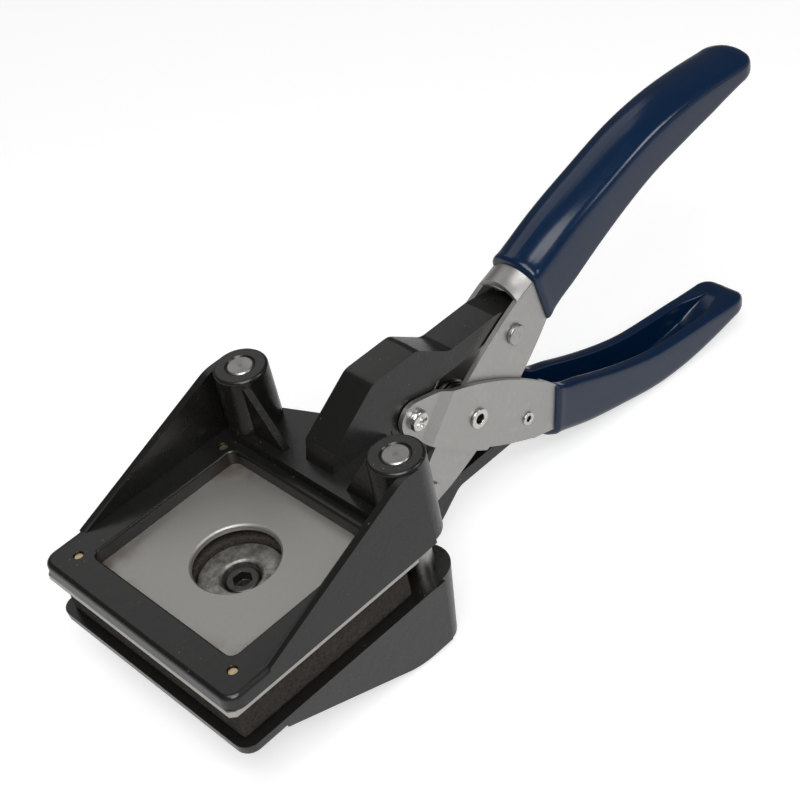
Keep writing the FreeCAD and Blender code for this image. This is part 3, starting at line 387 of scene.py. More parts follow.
# Corners closer than this many metres are one, and faces that meet at less than
# FLAT_ANGLE are one. An edge sharper than SHARP_ANGLE is rounded. Both in degrees.
# FACE_WEIGHT is how much large faces rule the shading of the small ones beside them.
WELD_REACH = 0.00001
FLAT_ANGLE = 1.0
SHARP_ANGLE = 35.0
FACE_WEIGHT = 60


def put(obj, material, body=None):
    """Give a piece its material and the body that it rides on."""
    obj.data.materials.clear()
    obj.data.materials.append(material)
    if body:
        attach(obj, body)


def ease_edges(obj, width, segments=2, crease=None):
    """Round a CAD node's sharp edges with modifiers, its own mesh untouched.

    width is in millimetres. crease, in degrees, keeps flatter folds crisp too."""
    weld = obj.modifiers.new("weld", "WELD")
    weld.merge_threshold = WELD_REACH
    flat = obj.modifiers.new("flat faces", "DECIMATE")
    flat.decimate_type = "DISSOLVE"
    flat.angle_limit = math.radians(FLAT_ANGLE)
    bevel = obj.modifiers.new("eased edges", "BEVEL")
    bevel.width = width * MM
    bevel.segments = segments
    bevel.limit_method = "ANGLE"
    bevel.angle_limit = math.radians(SHARP_ANGLE)
    bevel.miter_outer = "MITER_ARC"
    if crease:
        split = obj.modifiers.new("creases", "EDGE_SPLIT")
        split.split_angle = math.radians(crease)
    normals = obj.modifiers.new("normals", "WEIGHTED_NORMAL")
    normals.weight = FACE_WEIGHT
    normals.keep_sharp = False


def new_mesh(name, points, faces, smooth=True):
    """A new object of these points and faces, its faces turned outwards."""
    mesh = bpy.data.meshes.new(name)
    mesh.from_pydata([tuple(point) for point in points], [], faces)
    mesh.validate()
    build = bmesh.new()
    build.from_mesh(mesh)
    bmesh.ops.recalc_face_normals(build, faces=build.faces)
    build.to_mesh(mesh)
    build.free()
    if smooth:
        mesh.shade_smooth()
    obj = bpy.data.objects.new(name, mesh)
    bpy.context.scene.collection.objects.link(obj)
    return obj


def spline(xs, ys, x):
    """A smooth curve through the points, read at x."""
    xs = np.asarray(xs, float)
    ys = np.asarray(ys, float)
    slopes = np.gradient(ys, xs)
    spot = int(np.clip(np.searchsorted(xs, x) - 1, 0, len(xs) - 2))
    gap = xs[spot + 1] - xs[spot]
    t = (x - xs[spot]) / gap
    if t < 0 or t > 1:
        edge = 0 if t < 0 else -1
        return ys[edge] + slopes[edge] * (x - xs[edge])
    return (
        (2 * t**3 - 3 * t**2 + 1) * ys[spot]
        + (t**3 - 2 * t**2 + t) * gap * slopes[spot]
        + (3 * t**2 - 2 * t**3) * ys[spot + 1]
        + (t**3 - t**2) * gap * slopes[spot + 1]
    )


# The share of a run that the rounding of one of its corners may take, and the least
# length that is divided by.
MOST_ROUNDED = 0.49
TINY = 1e-9


def soft_path(points, radii, run, turn):
    """A path through the points, its corners rounded.

    Each run gets run samples and each corner turn of them, so that paths match."""
    path = []
    count = len(points)
    ends = []
    for index in range(count):
        here = np.array(points[index], float)
        if index in (0, count - 1) or radii[index] <= 0:
            ends.append((here, here))
            continue
        back = np.array(points[index - 1], float) - here
        ahead = np.array(points[index + 1], float) - here
        behind = max(np.linalg.norm(back), TINY)
        before = max(np.linalg.norm(ahead), TINY)
        reach = min(radii[index], MOST_ROUNDED * behind, MOST_ROUNDED * before)
        ends.append((here + back / behind * reach, here + ahead / before * reach))
    for index in range(count):
        first, last = ends[index]
        corner = np.array(points[index], float)
        if index in (0, count - 1):
            path.append(first)
        else:
            for step in range(turn + 1):
                t = step / turn
                path.append(
                    (1 - t) ** 2 * first + 2 * t * (1 - t) * corner + t**2 * last
                )
        if index < count - 1:
            start = last
            stop = ends[index + 1][0]
            for step in range(1, run):
                path.append(start + (stop - start) * step / run)
    return np.array(path)


# Grips

# Stations along a handle from the lip of its web to its tip, as shares of its length.
# The heights there of the web's corner and of the open rim are shares of the highest
# corner, and the rise of the web's arch is a share of its rise at the lip.
STATION_SHARES = (0.0, 0.09, 0.21, 0.37, 0.53, 0.68, 0.82, 0.93)
CORNER_SHARES = (0.563, 0.637, 0.752, 0.866, 0.963, 1.0, 0.992, 0.968)
RIM_SHARES = (0.045, 0.291, 0.433, 0.600, 0.728, 0.794, 0.845, 0.885)
ARCH_SHARES = (1.0, 0.90, 0.76, 0.67, 0.63, 0.60, 0.58, 0.58)

# Along the front edge of a grip: how far in each ring lies, in millimetres, and how
# much of the skin's thickness it has.
LIP_REACH = (0.0, 0.12, 0.4, 0.8, 1.3, 1.9, 2.6, 3.4, 4.6)
LIP_COVER_SHARES = (0.0, 0.5, 0.82, 1.02, 1.10, 1.10, 1.04, 1.0, 1.0)

# Points of the crown between its middle and its corner, as shares of its half width.
CROWN_SHARES = (0.25, 0.48)
# The width that is left of the hollow where it ends, as a share of its full width.
CLOSED_WIDTH = 0.35
# Roundings in millimetres: of the crown's points, of the bare metal's rim, of the
# hollow's corners where it is open and where it has closed, and of its ceiling. The
# bare metal's upper corners have the share BARE_CORNER of the skin's rounding.
CROWN_ROUND = 1.5
METAL_ROUND = 0.2
HOLLOW_ROUND = 2.0
CLOSED_ROUND = 0.05
CEILING_ROUND = 1.0
BARE_CORNER = 0.3
# How far behind the lip, in millimetres, the rings stand upright again, and how many
# times a leaning ring is laid on the skin anew until it fits.
UPRIGHT_AFTER = 45.0
LEAN_ROUNDS = 3
# How far past both ends, in millimetres, the sections are worked out, and how many
# of them the bare metal near the lip needs.
SPARE_REACH = 9.0
BARE_SECTIONS = 20
# The round tip: how many rings close it, how bluntly it narrows from above and from
# the side, its least share of the full size, and the height that it closes to, as a
# share of the last full section.
TIP_RINGS = 12
TIP_WIDTH_POWER = 0.62
TIP_HEIGHT_POWER = 0.75
TIP_LEAST = 0.01
TIP_MIDDLE = 0.52


def smooth(share):
    """0 up to 0, 1 from 1 on and a smooth rise between them."""
    share = min(max(share, 0.0), 1.0)
    return share * share * (3 - 2 * share)


class Grip:
    """The skin of one dipped grip, as rings of points in millimetres."""

    def __init__(self, sizes, length, lift):
        self.sizes = sizes
        self.length = length
        self.lift = lift
        self.tip = sizes.lip_x + length
        self.round_from = self.tip - sizes.tip_round
        self.lean = math.tan(math.radians(sizes.front_lean))
        first, last = sizes.front_x - SPARE_REACH, self.round_from + SPARE_REACH
        self.places = np.arange(first, last, sizes.ring_step)
        near_lip = self.places[:BARE_SECTIONS]
        self.full = np.array([self.section(x, 1.0) for x in self.places])
        self.bare = np.array([self.section(x, 0.0) for x in near_lip])

    def line(self, x):
        """Heights of the handle's corner and rim at x, and the rise of its arch."""
        share = min((x - self.sizes.lip_x) / self.length, STATION_SHARES[-1])
        corner, rim, arch = (
            spline(STATION_SHARES, shares, share)
            for shares in (CORNER_SHARES, RIM_SHARES, ARCH_SHARES)
        )
        high = self.sizes.highest_corner
        lift = self.lift * share
        return corner * high + lift, rim * high + lift, arch * self.sizes.crown_rise

    def section(self, x, cover):
        """Half of the cross-section at x, from the crown round the rim to the ceiling.

        cover is 1 for the full skin and 0 for the bare metal."""
        sizes = self.sizes
        corner, rim, arch = self.line(x)
        skin = sizes.skin * cover
        lining = sizes.lining * cover
        hollow = smooth((self.tip - sizes.solid_tip - x) / sizes.hollow_fade)
        outside = sizes.metal_outside + skin
        open_width = CLOSED_WIDTH + (1 - CLOSED_WIDTH) * hollow
        inside = (sizes.metal_inside - lining) * open_width
        low = rim - lining

        def top(y):
            return corner + skin + arch * (1 - (y / outside) ** 2)

        def under(y):
            height = corner - sizes.sheet - lining + arch * (1 - (y / outside) ** 2)
            return low + (height - low) * hollow

        points = [(0.0, top(0))]
        radii = [0]
        for share in CROWN_SHARES:
            y = outside * share
            points.append((y, top(y)))
            radii.append(CROWN_ROUND)
        points += [(outside, top(outside)), (outside, low)]
        radii.append(sizes.corner * (BARE_CORNER + (1 - BARE_CORNER) * cover))
        radii.append(METAL_ROUND + sizes.rim_round * cover)
        points += [(inside, low), (inside, under(inside))]
        radii.append(METAL_ROUND + sizes.lip_round * cover)
        radii.append(CLOSED_ROUND + HOLLOW_ROUND * hollow)
        points += [(inside / 2, under(inside / 2)), (0.0, under(0))]
        radii += [CEILING_ROUND, 0]
        return soft_path(points, radii, run=3, turn=8)

    def half_ring(self, x, family, slant):
        """Half a ring, every point where the slanted cut meets the skin."""
        places = self.places[: len(family)]
        corner = self.line(x)[0]
        spots = np.full(family.shape[1], x)
        for _ in range(LEAN_ROUNDS if slant else 1):
            half = np.array(
                [
                    [np.interp(spot, places, family[:, index, axis]) for axis in (0, 1)]
                    for index, spot in enumerate(spots)
                ]
            )
            spots = x - slant * (half[:, 1] - corner)
        return np.column_stack((spots, half))

    def ring(self, half):
        """Both halves of a ring, once round."""
        left = half[1:-1] * (1, -1, 1)
        return [tuple(point) for point in np.vstack((half, left[::-1]))]

    def lip_rings(self):
        """The rolled front edge: from the bare metal out over a low bead."""
        sizes = self.sizes
        rings = []
        for reach, cover in zip(LIP_REACH, LIP_COVER_SHARES):
            x = sizes.front_x + reach
            bare = self.half_ring(x, self.bare, self.lean)
            full = self.half_ring(x, self.full, self.lean)
            rings.append(self.ring(bare + (full - bare) * cover))
        return rings

    def rings(self):
        """All rings, from the front lip to the rounded tip."""
        start = self.sizes.front_x + LIP_REACH[-1]
        rings = self.lip_rings()
        count = int((self.round_from - start) / self.sizes.ring_step)
        for x in np.linspace(start, self.round_from, count)[1:]:
            slant = self.lean * max(0.0, 1 - (x - start) / UPRIGHT_AFTER)
            half = self.half_ring(x, self.full, slant)
            rings.append(self.ring(half))
        return rings + self.tip_rings(half)

    def tip_rings(self, last):
        """Rings that close the tip, round from above and round from the side."""
        low, high = last[:, 2].min(), last[:, 2].max()
        middle = low + (high - low) * TIP_MIDDLE
        rings = []
        for step in range(1, TIP_RINGS + 1):
            turn = math.pi / 2 * step / TIP_RINGS
            left = max(math.cos(turn), TIP_LEAST)
            wide = left**TIP_WIDTH_POWER
            tall = left**TIP_HEIGHT_POWER
            half = last.copy()
            half[:, 0] = self.round_from + (self.tip - self.round_from) * math.sin(turn)
            half[:, 1] *= wide
            half[:, 2] = middle + (last[:, 2] - middle) * tall
            rings.append(self.ring(half))
        return rings


def loft(name, rings, flip):
    """A closed skin through rings of equal length, capped at both ends.

    flip turns it over, for the lower lever."""
    count = len(rings[0])
    points = [
        at(x, y, -z if flip else z)
        for ring in rings
        for x, y, z in ring
    ]
    faces = []
    for ring in range(len(rings) - 1):
        for spot in range(count):
            after = (spot + 1) % count
            faces.append(
                (
                    ring * count + spot,
                    ring * count + after,
                    (ring + 1) * count + after,
                    (ring + 1) * count + spot,
                )
            )
    # The front is closed by a strip between the ring's outer and inner edge.
    half = count // 2
    for spot in range(half // 2):
        a, b = spot, spot + 1
        c, d = half - spot - 1, half - spot
        faces.append((a, b, c, d) if c > b else (a, b, d))
    for spot in range(half // 2):
        a, b = (count - spot) % count, count - spot - 1
        c, d = half + spot + 1, half + spot
        faces.append((a, b, c, d) if b > c else (a, b, d))
    end = (len(rings) - 1) * count
    faces.append(tuple(range(end, end + count)))
    return new_mesh(name, points, faces)


# Foam pad

# The pad's size as a share of its solid, and the sides of its round hole. Its pits
# are two sizes of noise, by waves per metre, each with half of the depth, and the
# skin rises between them by no more than PIT_RISE of it.
FOAM_SHARE = 0.994
DRILL_SIDES = 96
PIT_WAVES = (900, 2100)
PIT_SHARE = 0.5
PIT_RISE = 0.15


def foam_block(sizes):
    """The stripper pad: a slab with a round hole, rounded, remeshed and pitted."""
    low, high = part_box("stripper_pad")
    middle = (low + high) / 2
    span = high - low
    bpy.ops.mesh.primitive_cube_add(size=1, location=middle)
    block = bpy.context.object
    block.scale = span * FOAM_SHARE
    bpy.ops.object.transform_apply(location=True, rotation=True, scale=True)
    bpy.ops.mesh.primitive_cylinder_add(
        vertices=DRILL_SIDES,
        radius=sizes.foam_hole / 2 * MM,
        depth=span.z * 2,
        location=(DIE_X, 0, middle.z),
    )
    drill = bpy.context.object
    hole = block.modifiers.new("hole", "BOOLEAN")
    hole.operation = "DIFFERENCE"
    hole.object = drill
    remesh = block.modifiers.new("cells", "REMESH")
    remesh.mode = "VOXEL"
    remesh.voxel_size = sizes.foam_cell * MM
    soften = block.modifiers.new("soften", "SMOOTH")
    soften.factor = 0.6
    soften.iterations = 4
    view = bpy.context.evaluated_depsgraph_get()
    mesh = bpy.data.meshes.new_from_object(block.evaluated_get(view))
    bpy.data.objects.remove(drill)
    bpy.data.objects.remove(block)
    places = [vertex.co.copy() for vertex in mesh.vertices]
    outward = [vertex.normal.copy() for vertex in mesh.vertices]
    for vertex, spot, way in zip(mesh.vertices, places, outward):
        pit = sum(noise.noise(spot * waves) * PIT_SHARE for waves in PIT_WAVES)
        vertex.co = spot + way * min(pit, PIT_RISE) * sizes.foam_pit * MM
    mesh.shade_smooth()
    pad = bpy.data.objects.new("foam_pad", mesh)
    bpy.context.scene.collection.objects.link(pad)
    return pad


# Spring

# Points along each turn, and how far the legs' ends spread sideways, in millimetres.
STEPS_PER_TURN = 40
LEG_SPREAD = 0.2


def spring_points(sizes):
    """Points along the return spring's wire: leg, coil and leg, in millimetres."""
    reach = sizes.leg_reach
    rise = sizes.leg_rise
    radius = sizes.coil_radius
    distance = math.hypot(reach, rise)
    first = math.atan2(rise, reach) + math.acos(radius / distance)
    total = 2 * (math.pi - first) + 2 * math.pi * sizes.coil_turns
    start_y = sizes.coil_pitch * total / (4 * math.pi)
    steps = STEPS_PER_TURN * sizes.coil_turns
    points = [(sizes.pivot_x + reach, start_y + LEG_SPREAD, rise)]
    for step in range(steps + 1):
        angle = first + total * step / steps
        y = start_y - sizes.coil_pitch * (angle - first) / (2 * math.pi)
        x = sizes.pivot_x + radius * math.cos(angle)
        points.append((x, y, radius * math.sin(angle)))
    points.append((sizes.pivot_x + reach, -start_y - LEG_SPREAD, -rise))
    return points


def spring_wire(sizes):
    """The spring as a round tube with cut ends."""
    points = [at(*point) for point in spring_points(sizes)]
    curve = bpy.data.curves.new("wire_line", "CURVE")
    curve.dimensions = "3D"
    line = curve.splines.new("POLY")
    line.points.add(len(points) - 1)
    for spot, point in zip(line.points, points):
        spot.co = (*point, 1)
    curve.bevel_depth = sizes.wire / 2 * MM
    curve.bevel_resolution = 4
    curve.use_fill_caps = True
    holder = bpy.data.objects.new("wire_line", curve)
    bpy.context.scene.collection.objects.link(holder)
    view = bpy.context.evaluated_depsgraph_get()
    mesh = bpy.data.meshes.new_from_object(holder.evaluated_get(view))
    bpy.data.objects.remove(holder)
    mesh.shade_smooth()
    spring = bpy.data.objects.new("torsion_spring", mesh)
    bpy.context.scene.collection.objects.link(spring)
    return spring


# Stage

# The level direction towards the photograph's side. The surround is pale there and
# dims round the sides between the two shares of FRONT_FADE, and upwards from HORIZON.
FRONT_X, FRONT_Y = -0.5, -0.87
FRONT_FADE = (-0.35, 0.35)
HORIZON = 0.02

# In metres: the table turns plain white for the camera between the two distances of
# TABLE_FADE, and it lies TABLE_GAP below the points that touch it.
TABLE_FADE = (0.35, 1.3)
TABLE_GAP = 0.0002

# Each lamp: its place from the point that all lamps aim at and the length of its
# side, in metres, and the setting that holds its power. LAMP_AIM is as in at().
LAMPS = (
    ("top box", (-0.24, -0.20, 1.20), 0.7, "top"),
    ("key", (-0.42, -0.66, 0.92), 0.6, "key"),
    ("fill", (0.60, -0.82, 0.76), 0.35, "fill"),
    ("back panel", (0.36, 0.70, 0.74), 0.62, "back"),
)
LAMP_AIM = (40, 0, 10)

# The camera's place, as in at(), and its turn. Its sensor's width is in millimetres
# and the nearest distance that it sees in metres.
CAMERA_PLACE = (-153.263, -292.457, 323.480)
CAMERA_TURN = (
    (0.699546, 0.548430, -0.458104),
    (-0.695431, 0.375054, -0.612952),
    (-0.164348, 0.747368, 0.643764),
)
SENSOR_WIDTH = 36.0
NEAREST_SEEN = 0.01


def studio_world(stage):
    """Pale low in front and dim elsewhere, but plain white for the camera."""
    world = bpy.data.worlds.new("studio")
    bpy.context.scene.world = world
    paint = Paint("studio", world)
    way = paint.node("ShaderNodeTexCoord", {}, [], "Generated")
    low = 1.0 - paint.axis(2, way).step(HORIZON, stage.horizon_top)
    ahead = paint.axis(0, way) * FRONT_X + paint.axis(1, way) * FRONT_Y
    front = low * ahead.step(*FRONT_FADE)
    level = paint.mix(stage.overhead, stage.horizon, front, "FLOAT")
    seen = paint.node("ShaderNodeLightPath", {}, [], "Is Camera Ray")
    through = paint.node("ShaderNodeLightPath", {}, [], "Is Transmission Ray")
    white = seen.math("MAXIMUM", through)
    strength = paint.mix(level, 1.0, white, "FLOAT")
    paint.finish({"Color": (1.0, 1.0, 1.0, 1.0)}, Strength=strength)


def pale_floor(stage):
    """The table top, leaning to touch the lower bosses and the lower grip."""
    front = at(stage.touch_front, 0, -stage.touch_front_drop)
    back = at(stage.touch_back, 0, -stage.touch_back_drop)
    along = (back - front).normalized()
    up = Vector((-along.z, 0, along.x))
    if up.z < 0:
        up.negate()
    side = Vector((0, 1, 0))
    size = stage.floor_size
    middle = (front + back) / 2 - up * TABLE_GAP
    corners = [
        middle + along * size * a + side * size * b
        for a, b in ((-1, -1), (1, -1), (1, 1), (-1, 1))
    ]
    floor = new_mesh("table_top", corners, [(0, 1, 2, 3)], smooth=False)
    paint = Paint("white table")
    seen = paint.node("ShaderNodeLightPath", {}, [], "Is Camera Ray")
    mirrored = paint.node("ShaderNodeLightPath", {}, [], "Is Glossy Ray")
    apart = paint.node(
        "ShaderNodeVectorMath", {"operation": "LENGTH"}, [paint.place()], 1
    )
    far = apart.step(*TABLE_FADE)
    bright = far.between(stage.floor_glow, 1.0)
    strength = seen * bright + mirrored * stage.floor_mirror
    glow = paint.node(
        "ShaderNodeEmission", {}, {"Color": (1, 1, 1, 1), "Strength": strength}
    )
    lit = Flow(paint, paint.shader.outputs[0])
    both = paint.node("ShaderNodeAddShader", {}, [lit, glow])
    paint.plug(paint.tree.nodes["Material Output"].inputs["Surface"], both)
    shade = (stage.floor_shade,) * 3
    material = paint.finish(
        {"Roughness": 0.9, "Specular IOR Level": 0.1},
        Base_Color=paint.mix(rgba(shade), (0.0, 0.0, 0.0, 1.0), far),
    )
    floor.data.materials.append(material)


def soft_box(name, place, aim, width, power):
    """A square lamp of this width at place, turned to its aim."""
    lamp = bpy.data.lights.new(name, "AREA")
    lamp.shape = "SQUARE"
    lamp.size = width
    lamp.energy = power
    obj = bpy.data.objects.new(name, lamp)
    obj.location = place
    obj.rotation_euler = (aim - place).to_track_quat("-Z", "Y").to_euler()
    bpy.context.scene.collection.objects.link(obj)


def photo_camera(stage):
    """The camera at the photograph's place and angle."""
    data = bpy.data.cameras.new("camera")
    data.sensor_width = SENSOR_WIDTH
    data.lens = stage.lens
    data.clip_start = NEAREST_SEEN
    camera = bpy.data.objects.new("camera", data)
    place = Matrix.Translation(at(*CAMERA_PLACE))
    camera.matrix_world = place @ Matrix(CAMERA_TURN).to_4x4()
    bpy.context.scene.collection.objects.link(camera)
    bpy.context.scene.camera = camera


# Settings


def size(name, words, default, low=0.0, high=500.0, unit="NONE"):
    """A number setting, a size in millimetres unless its words say otherwise."""
    return FloatProperty(
        name=name, description=words, default=default, min=low, max=high, unit=unit
    )


def tint(name, words, default):
    """A colour setting."""
    return FloatVectorProperty(
        name=name,
        description=words,
        default=default,
        subtype="COLOR",
        min=0.0,
        max=1.0,
    )


class CutterLooks(bpy.types.PropertyGroup):
    """Colours of the finishes"""

    enamel: tint("Enamel", "Colour of the castings", (0.0085, 0.0080, 0.0076))
    dust: tint("Dust", "Colour of the castings' dust specks", (0.30, 0.29, 0.27))
    steel: tint("Tool steel", "Colour of die plate and punch", (0.52, 0.505, 0.48))
    stain: tint("Stain", "Colour of the marks on the punch", (0.10, 0.09, 0.08))
    post: tint("Post steel", "Colour of the ground guide posts", (0.45, 0.44, 0.43))
    tarnish: tint("Tarnish", "Brown bloom on bare steel", (0.26, 0.19, 0.14))
    sheet: tint("Sheet steel", "Colour of the plated handles", (0.46, 0.45, 0.435))
    chrome: tint("Bright plate", "Colour of screws and rivets", (0.70, 0.69, 0.67))
    zinc: tint("Yellow zinc", "Colour of the die plate's screws", (0.78, 0.64, 0.38))
    oxide: tint("Black oxide", "Colour of the cap screw", (0.11, 0.105, 0.10))
    wire: tint("Spring wire", "Colour of the return spring", (0.30, 0.29, 0.28))
    vinyl: tint("Vinyl", "Colour of the grips", (0.0014, 0.0135, 0.044))
    foam: tint("Foam", "Colour of the stripper pad", (0.055, 0.047, 0.042))
    plastic: tint("Plastic", "Colour of the spring's bush", (0.02, 0.02, 0.02))
    worn_plastic: tint("Worn plastic", "Its paler patches", (0.035, 0.034, 0.033))


class CutterSizes(bpy.types.PropertyGroup):
    """Sizes of the pieces that are made here"""

    skin: size("Skin", "Grip thickness over the metal, mm", 1.4)
    lining: size("Lining", "Grip thickness under the metal, mm", 1.2)
    corner: size("Corner", "Rounding of a grip's upper corners, mm", 4.2)
    rim_round: size("Rim rounding", "Rounding of its rim outside, mm", 2.2)
    lip_round: size("Inner rounding", "Rounding of its rim inside, mm", 0.9)
    front_x: size("Front", "Where the grips' upper edge starts, mm", 115.6)
    front_lean: size("Lean", "Slant of the grips' front, degrees", 11.5)
    lip_x: size("Web lip", "Where the handles' webs start, mm", 108.5)
    highest_corner: size("Highest corner", "Height of the webs' edge, mm", 47.0)
    crown_rise: size("Crown", "Rise of the web's arch at its lip, mm", 3.9)
    upper_length: size("Upper length", "Upper handle from lip to tip, mm", 115.0)
    lower_length: size("Lower length", "Lower handle from lip to tip, mm", 105.8)
    upper_lift: size("Upper lift", "Outward bend of the upper handle, mm", 1.9)
    lower_lift: size("Lower lift", "Outward bend of the lower handle, mm", -2.3, -20.0)
    metal_outside: size("Handle half width", "Outside of the handles' sides, mm", 7.7)
    metal_inside: size("Channel half width", "Inside of the handles' sides, mm", 6.1)
    sheet: size("Sheet", "Thickness of the handles' sheet, mm", 1.6)
    solid_tip: size("Solid tip", "Length of a grip's filled tip, mm", 7.0)
    hollow_fade: size("Hollow fade", "Length over which its hollow fades, mm", 17.0)
    tip_round: size("Tip rounding", "Length of the rounded tip, mm", 8.0)
    ring_step: size("Ring step", "Distance between rings along a grip, mm", 1.8)
    foam_hole: size("Foam hole", "Hole in the foam pad, mm", 25.8)
    foam_cell: size("Foam cell", "Mesh size of the foam, mm", 0.6)
    foam_pit: size("Foam pits", "Depth of the foam's pits, mm", 0.28)
    pivot_x: size("Coil centre", "The spring's axis from the die, mm", 84.6)
    coil_radius: size("Coil radius", "Mean radius of the spring, mm", 6.7)
    coil_pitch: size("Coil pitch", "Distance between its turns, mm", 2.06)
    coil_turns: IntProperty(
        name="Turns", description="Full turns of the spring", default=4, min=1, max=20
    )
    leg_reach: size("Leg reach", "How far back its legs reach, mm", 10.4)
    leg_rise: size("Leg rise", "Height of its legs' ends, mm", 17.45)
    wire: size("Wire", "Diameter of its wire, mm", 1.6)


class CutterStage(bpy.types.PropertyGroup):
    """Table, lamps and lens"""

    lens: size("Lens", "Focal length, mm", 75.791, unit="CAMERA")
    touch_front: size("Front touch", "Where the bosses touch the table, mm", 34.0)
    touch_front_drop: size("Front drop", "How low they reach, mm", 34.6)
    touch_back: size("Rear touch", "Where the grip touches the table, mm", 182.0)
    touch_back_drop: size("Rear drop", "How low it reaches, mm", 49.2)
    floor_size: size("Table", "Half the table's width, m", 4.0, unit="LENGTH")
    floor_shade: size("Table shade", "Lightness of the table", 0.58)
    floor_glow: size("Table glow", "Light added to the table for the camera", 0.62)
    floor_mirror: size("Mirrored glow", "Light added to the table in reflections", 0.32)
    horizon: size("Horizon", "Light from low in front", 0.40)
    overhead: size("Overhead", "Light from everywhere else", 0.10)
    horizon_top: size("Horizon top", "Height where the front turns dim", 0.35)
    top: size("Top box", "Power of the lamp overhead, W", 5.6, unit="POWER")
    key: size("Key", "Power of the key lamp, W", 6.5, unit="POWER")
    fill: size("Fill", "Power of the fill lamp, W", 2.4, unit="POWER")
    back: size("Back panel", "Power of the panel behind, W", 0.75, unit="POWER")


# Operators


class CUTTER_OT_stage(bpy.types.Operator):
    """Table, lamps, surround and camera"""

    bl_idname = "cutter.stage"
    bl_label = "Stage"

    def execute(self, context):
        stage = context.scene.cutter_stage
        context.scene.view_settings.view_transform = "Standard"
        studio_world(stage)
        pale_floor(stage)
        aim = at(*LAMP_AIM)
        for name, way, width, power in LAMPS:
            soft_box(name, aim + Vector(way), aim, width, getattr(stage, power))
        photo_camera(stage)
        return {"FINISHED"}


class CUTTER_OT_castings(bpy.types.Operator):
    """Enamel and eased edges of the two jaws"""

    bl_idname = "cutter.castings"
    bl_label = "Castings"

    def execute(self, context):
        enamel = enamel_paint(context.scene.cutter_looks)
        for name in ("upper_casting", "lower_casting"):
            put(NODES[name], enamel)
            ease_edges(NODES[name], width=0.7, segments=3)
        return {"FINISHED"}


class CUTTER_OT_die_set(bpy.types.Operator):
    """Die plate, punch, posts and their screws"""

    bl_idname = "cutter.die_set"
    bl_label = "Die set"

    def execute(self, context):
        looks = context.scene.cutter_looks
        for name, finish, stain in (
            ("die_plate", "ground plate steel", 0.0),
            ("punch", "stained tool steel", 0.75),
        ):
            put(NODES[name], plate_steel(looks, finish, stain))
            ease_edges(NODES[name], width=0.15)
        low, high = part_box("guide_post_left")
        turned = post_steel(looks, (low + high) / 2)
        for name in ("guide_post_left", "guide_post_right"):
            put(NODES[name], turned)
            ease_edges(NODES[name], width=0.12)
        yellow = bright_metal("yellow zinc", looks.zinc, 0.28, 0.45)
        put(NODES["die_plate_screws"], yellow)
        ease_edges(NODES["die_plate_screws"], width=0.35)
        oxide = bright_metal("black oxide", looks.oxide, 0.3, 0.5)
        put(NODES["punch_screw"], oxide)
        ease_edges(NODES["punch_screw"], width=0.2)
        return {"FINISHED"}


class CUTTER_OT_levers(bpy.types.Operator):
    """The two pressed steel handles"""

    bl_idname = "cutter.levers"
    bl_label = "Levers"

    def execute(self, context):
        steel = sheet_steel(context.scene.cutter_looks)
        for name in ("upper_handle", "lower_handle"):
            put(NODES[name], steel)
            ease_edges(NODES[name], width=0.22, crease=14.0)
        return {"FINISHED"}


class CUTTER_OT_fasteners(bpy.types.Operator):
    """Rivets, pivot screw, nut and bush"""

    bl_idname = "cutter.fasteners"
    bl_label = "Fasteners"

    def execute(self, context):
        looks = context.scene.cutter_looks
        bright = bright_metal("bright plate", looks.chrome, 0.16, 0.34)
        dull = bright_metal("dull plate", looks.sheet, 0.28, 0.45)
        for name in ("centre_rivet", "lower_slot_rivet", "pivot_screw", "pivot_nut"):
            put(NODES[name], bright)
            ease_edges(NODES[name], width=0.18)
        for name in ("upper_slot_rivet", "lower_pivot_rivet"):
            put(NODES[name], dull)
            ease_edges(NODES[name], width=0.4, segments=3)
        put(NODES["spring_bush"], moulded_plastic(looks))
        ease_edges(NODES["spring_bush"], width=0.3)
        return {"FINISHED"}


class CUTTER_OT_grips(bpy.types.Operator):
    """The two dipped grips"""

    bl_idname = "cutter.grips"
    bl_label = "Grips"

    def execute(self, context):
        skin = vinyl(context.scene.cutter_looks)
        sizes = context.scene.cutter_sizes
        upper = Grip(sizes, sizes.upper_length, sizes.upper_lift)
        lower = Grip(sizes, sizes.lower_length, sizes.lower_lift)
        for name, node, body, shape, flip in (
            ("upper_dipped_grip", "upper_grip", "upper_lever", upper, False),
            ("lower_dipped_grip", "lower_grip", "lower_lever", lower, True),
        ):
            grip = loft(name, shape.rings(), flip)
            put(grip, skin, body)
            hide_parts(node)
            put(NODES[node], skin)
        return {"FINISHED"}


class CUTTER_OT_foam(bpy.types.Operator):
    """The foam stripper pad"""

    bl_idname = "cutter.foam"
    bl_label = "Foam pad"

    def execute(self, context):
        skin = foam_skin(context.scene.cutter_looks)
        sizes = context.scene.cutter_sizes
        pad = foam_block(sizes)
        put(pad, skin, "lower_jaw")
        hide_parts("stripper_pad")
        put(NODES["stripper_pad"], skin)
        low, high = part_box("stripper_pad")
        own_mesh(pad)
        return {"FINISHED"}


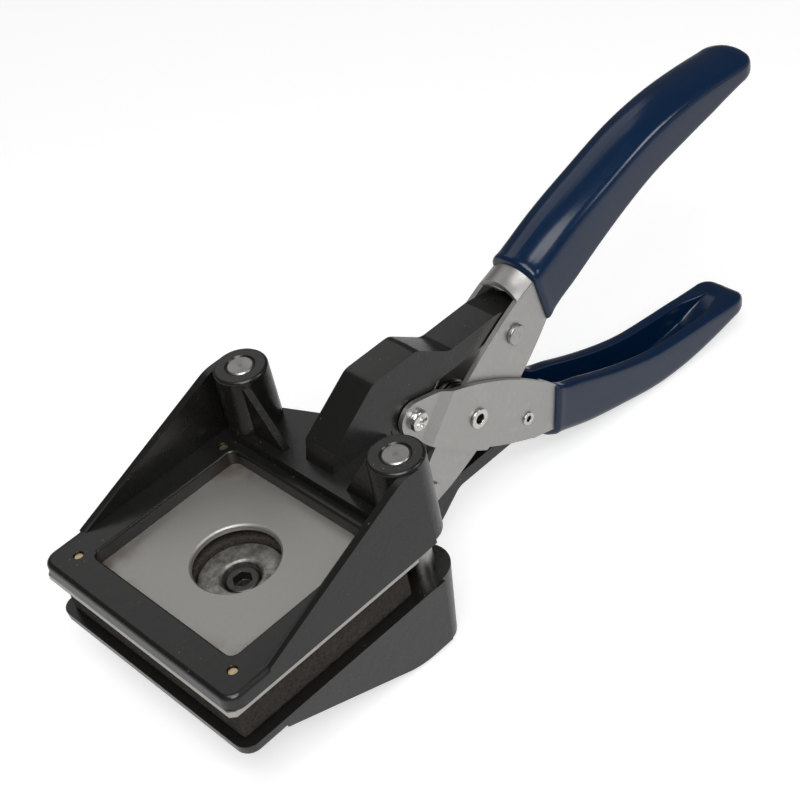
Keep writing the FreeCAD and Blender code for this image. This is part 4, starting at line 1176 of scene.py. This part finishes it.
class CUTTER_OT_spring(bpy.types.Operator):
    """The torsion spring that opens the levers"""

    bl_idname = "cutter.spring"
    bl_label = "Return spring"

    def execute(self, context):
        looks = context.scene.cutter_looks
        wire = bright_metal("spring wire", looks.wire, 0.22, 0.4)
        spring = spring_wire(context.scene.cutter_sizes)
        put(spring, wire, "upper_lever")
        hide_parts("return_spring")
        put(NODES["return_spring"], wire)
        centre = at(context.scene.cutter_sizes.pivot_x, 0, 0)
        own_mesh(spring)
        return {"FINISHED"}


class CUTTER_PT_panel(bpy.types.Panel):
    """Lists the steps and the settings"""

    bl_idname = "CUTTER_PT_panel"
    bl_label = "Card die cutter"
    bl_space_type = "VIEW_3D"
    bl_region_type = "UI"
    bl_category = "Die Cutter"

    def draw(self, context):
        for operator in OPERATORS:
            self.layout.operator(operator.bl_idname)
        for group in GROUPS:
            settings = getattr(context.scene, group)
            column = self.layout.column()
            for name in settings.__annotations__:
                column.prop(settings, name)


OPERATORS = (
    CUTTER_OT_stage,
    CUTTER_OT_castings,
    CUTTER_OT_die_set,
    CUTTER_OT_levers,
    CUTTER_OT_fasteners,
    CUTTER_OT_grips,
    CUTTER_OT_foam,
    CUTTER_OT_spring,
)
GROUPS = {
    "cutter_looks": CutterLooks,
    "cutter_sizes": CutterSizes,
    "cutter_stage": CutterStage,
}
CLASSES = (*GROUPS.values(), *OPERATORS, CUTTER_PT_panel)


def register():
    """Make the classes known and hang the settings on the scene."""
    for cls in CLASSES:
        bpy.utils.register_class(cls)
    for name, group in GROUPS.items():
        setattr(bpy.types.Scene, name, PointerProperty(type=group))


def unregister():
    """Take the settings and the classes away again."""
    for name in GROUPS:
        delattr(bpy.types.Scene, name)
    for cls in reversed(CLASSES):
        bpy.utils.unregister_class(cls)


def main():
    """Dress the cutter."""
    register()
    bpy.ops.cutter.stage()
    bpy.ops.cutter.castings()
    bpy.ops.cutter.die_set()
    bpy.ops.cutter.levers()
    bpy.ops.cutter.fasteners()
    bpy.ops.cutter.grips()
    bpy.ops.cutter.foam()
    bpy.ops.cutter.spring()


if __name__ == "__main__":
    main()
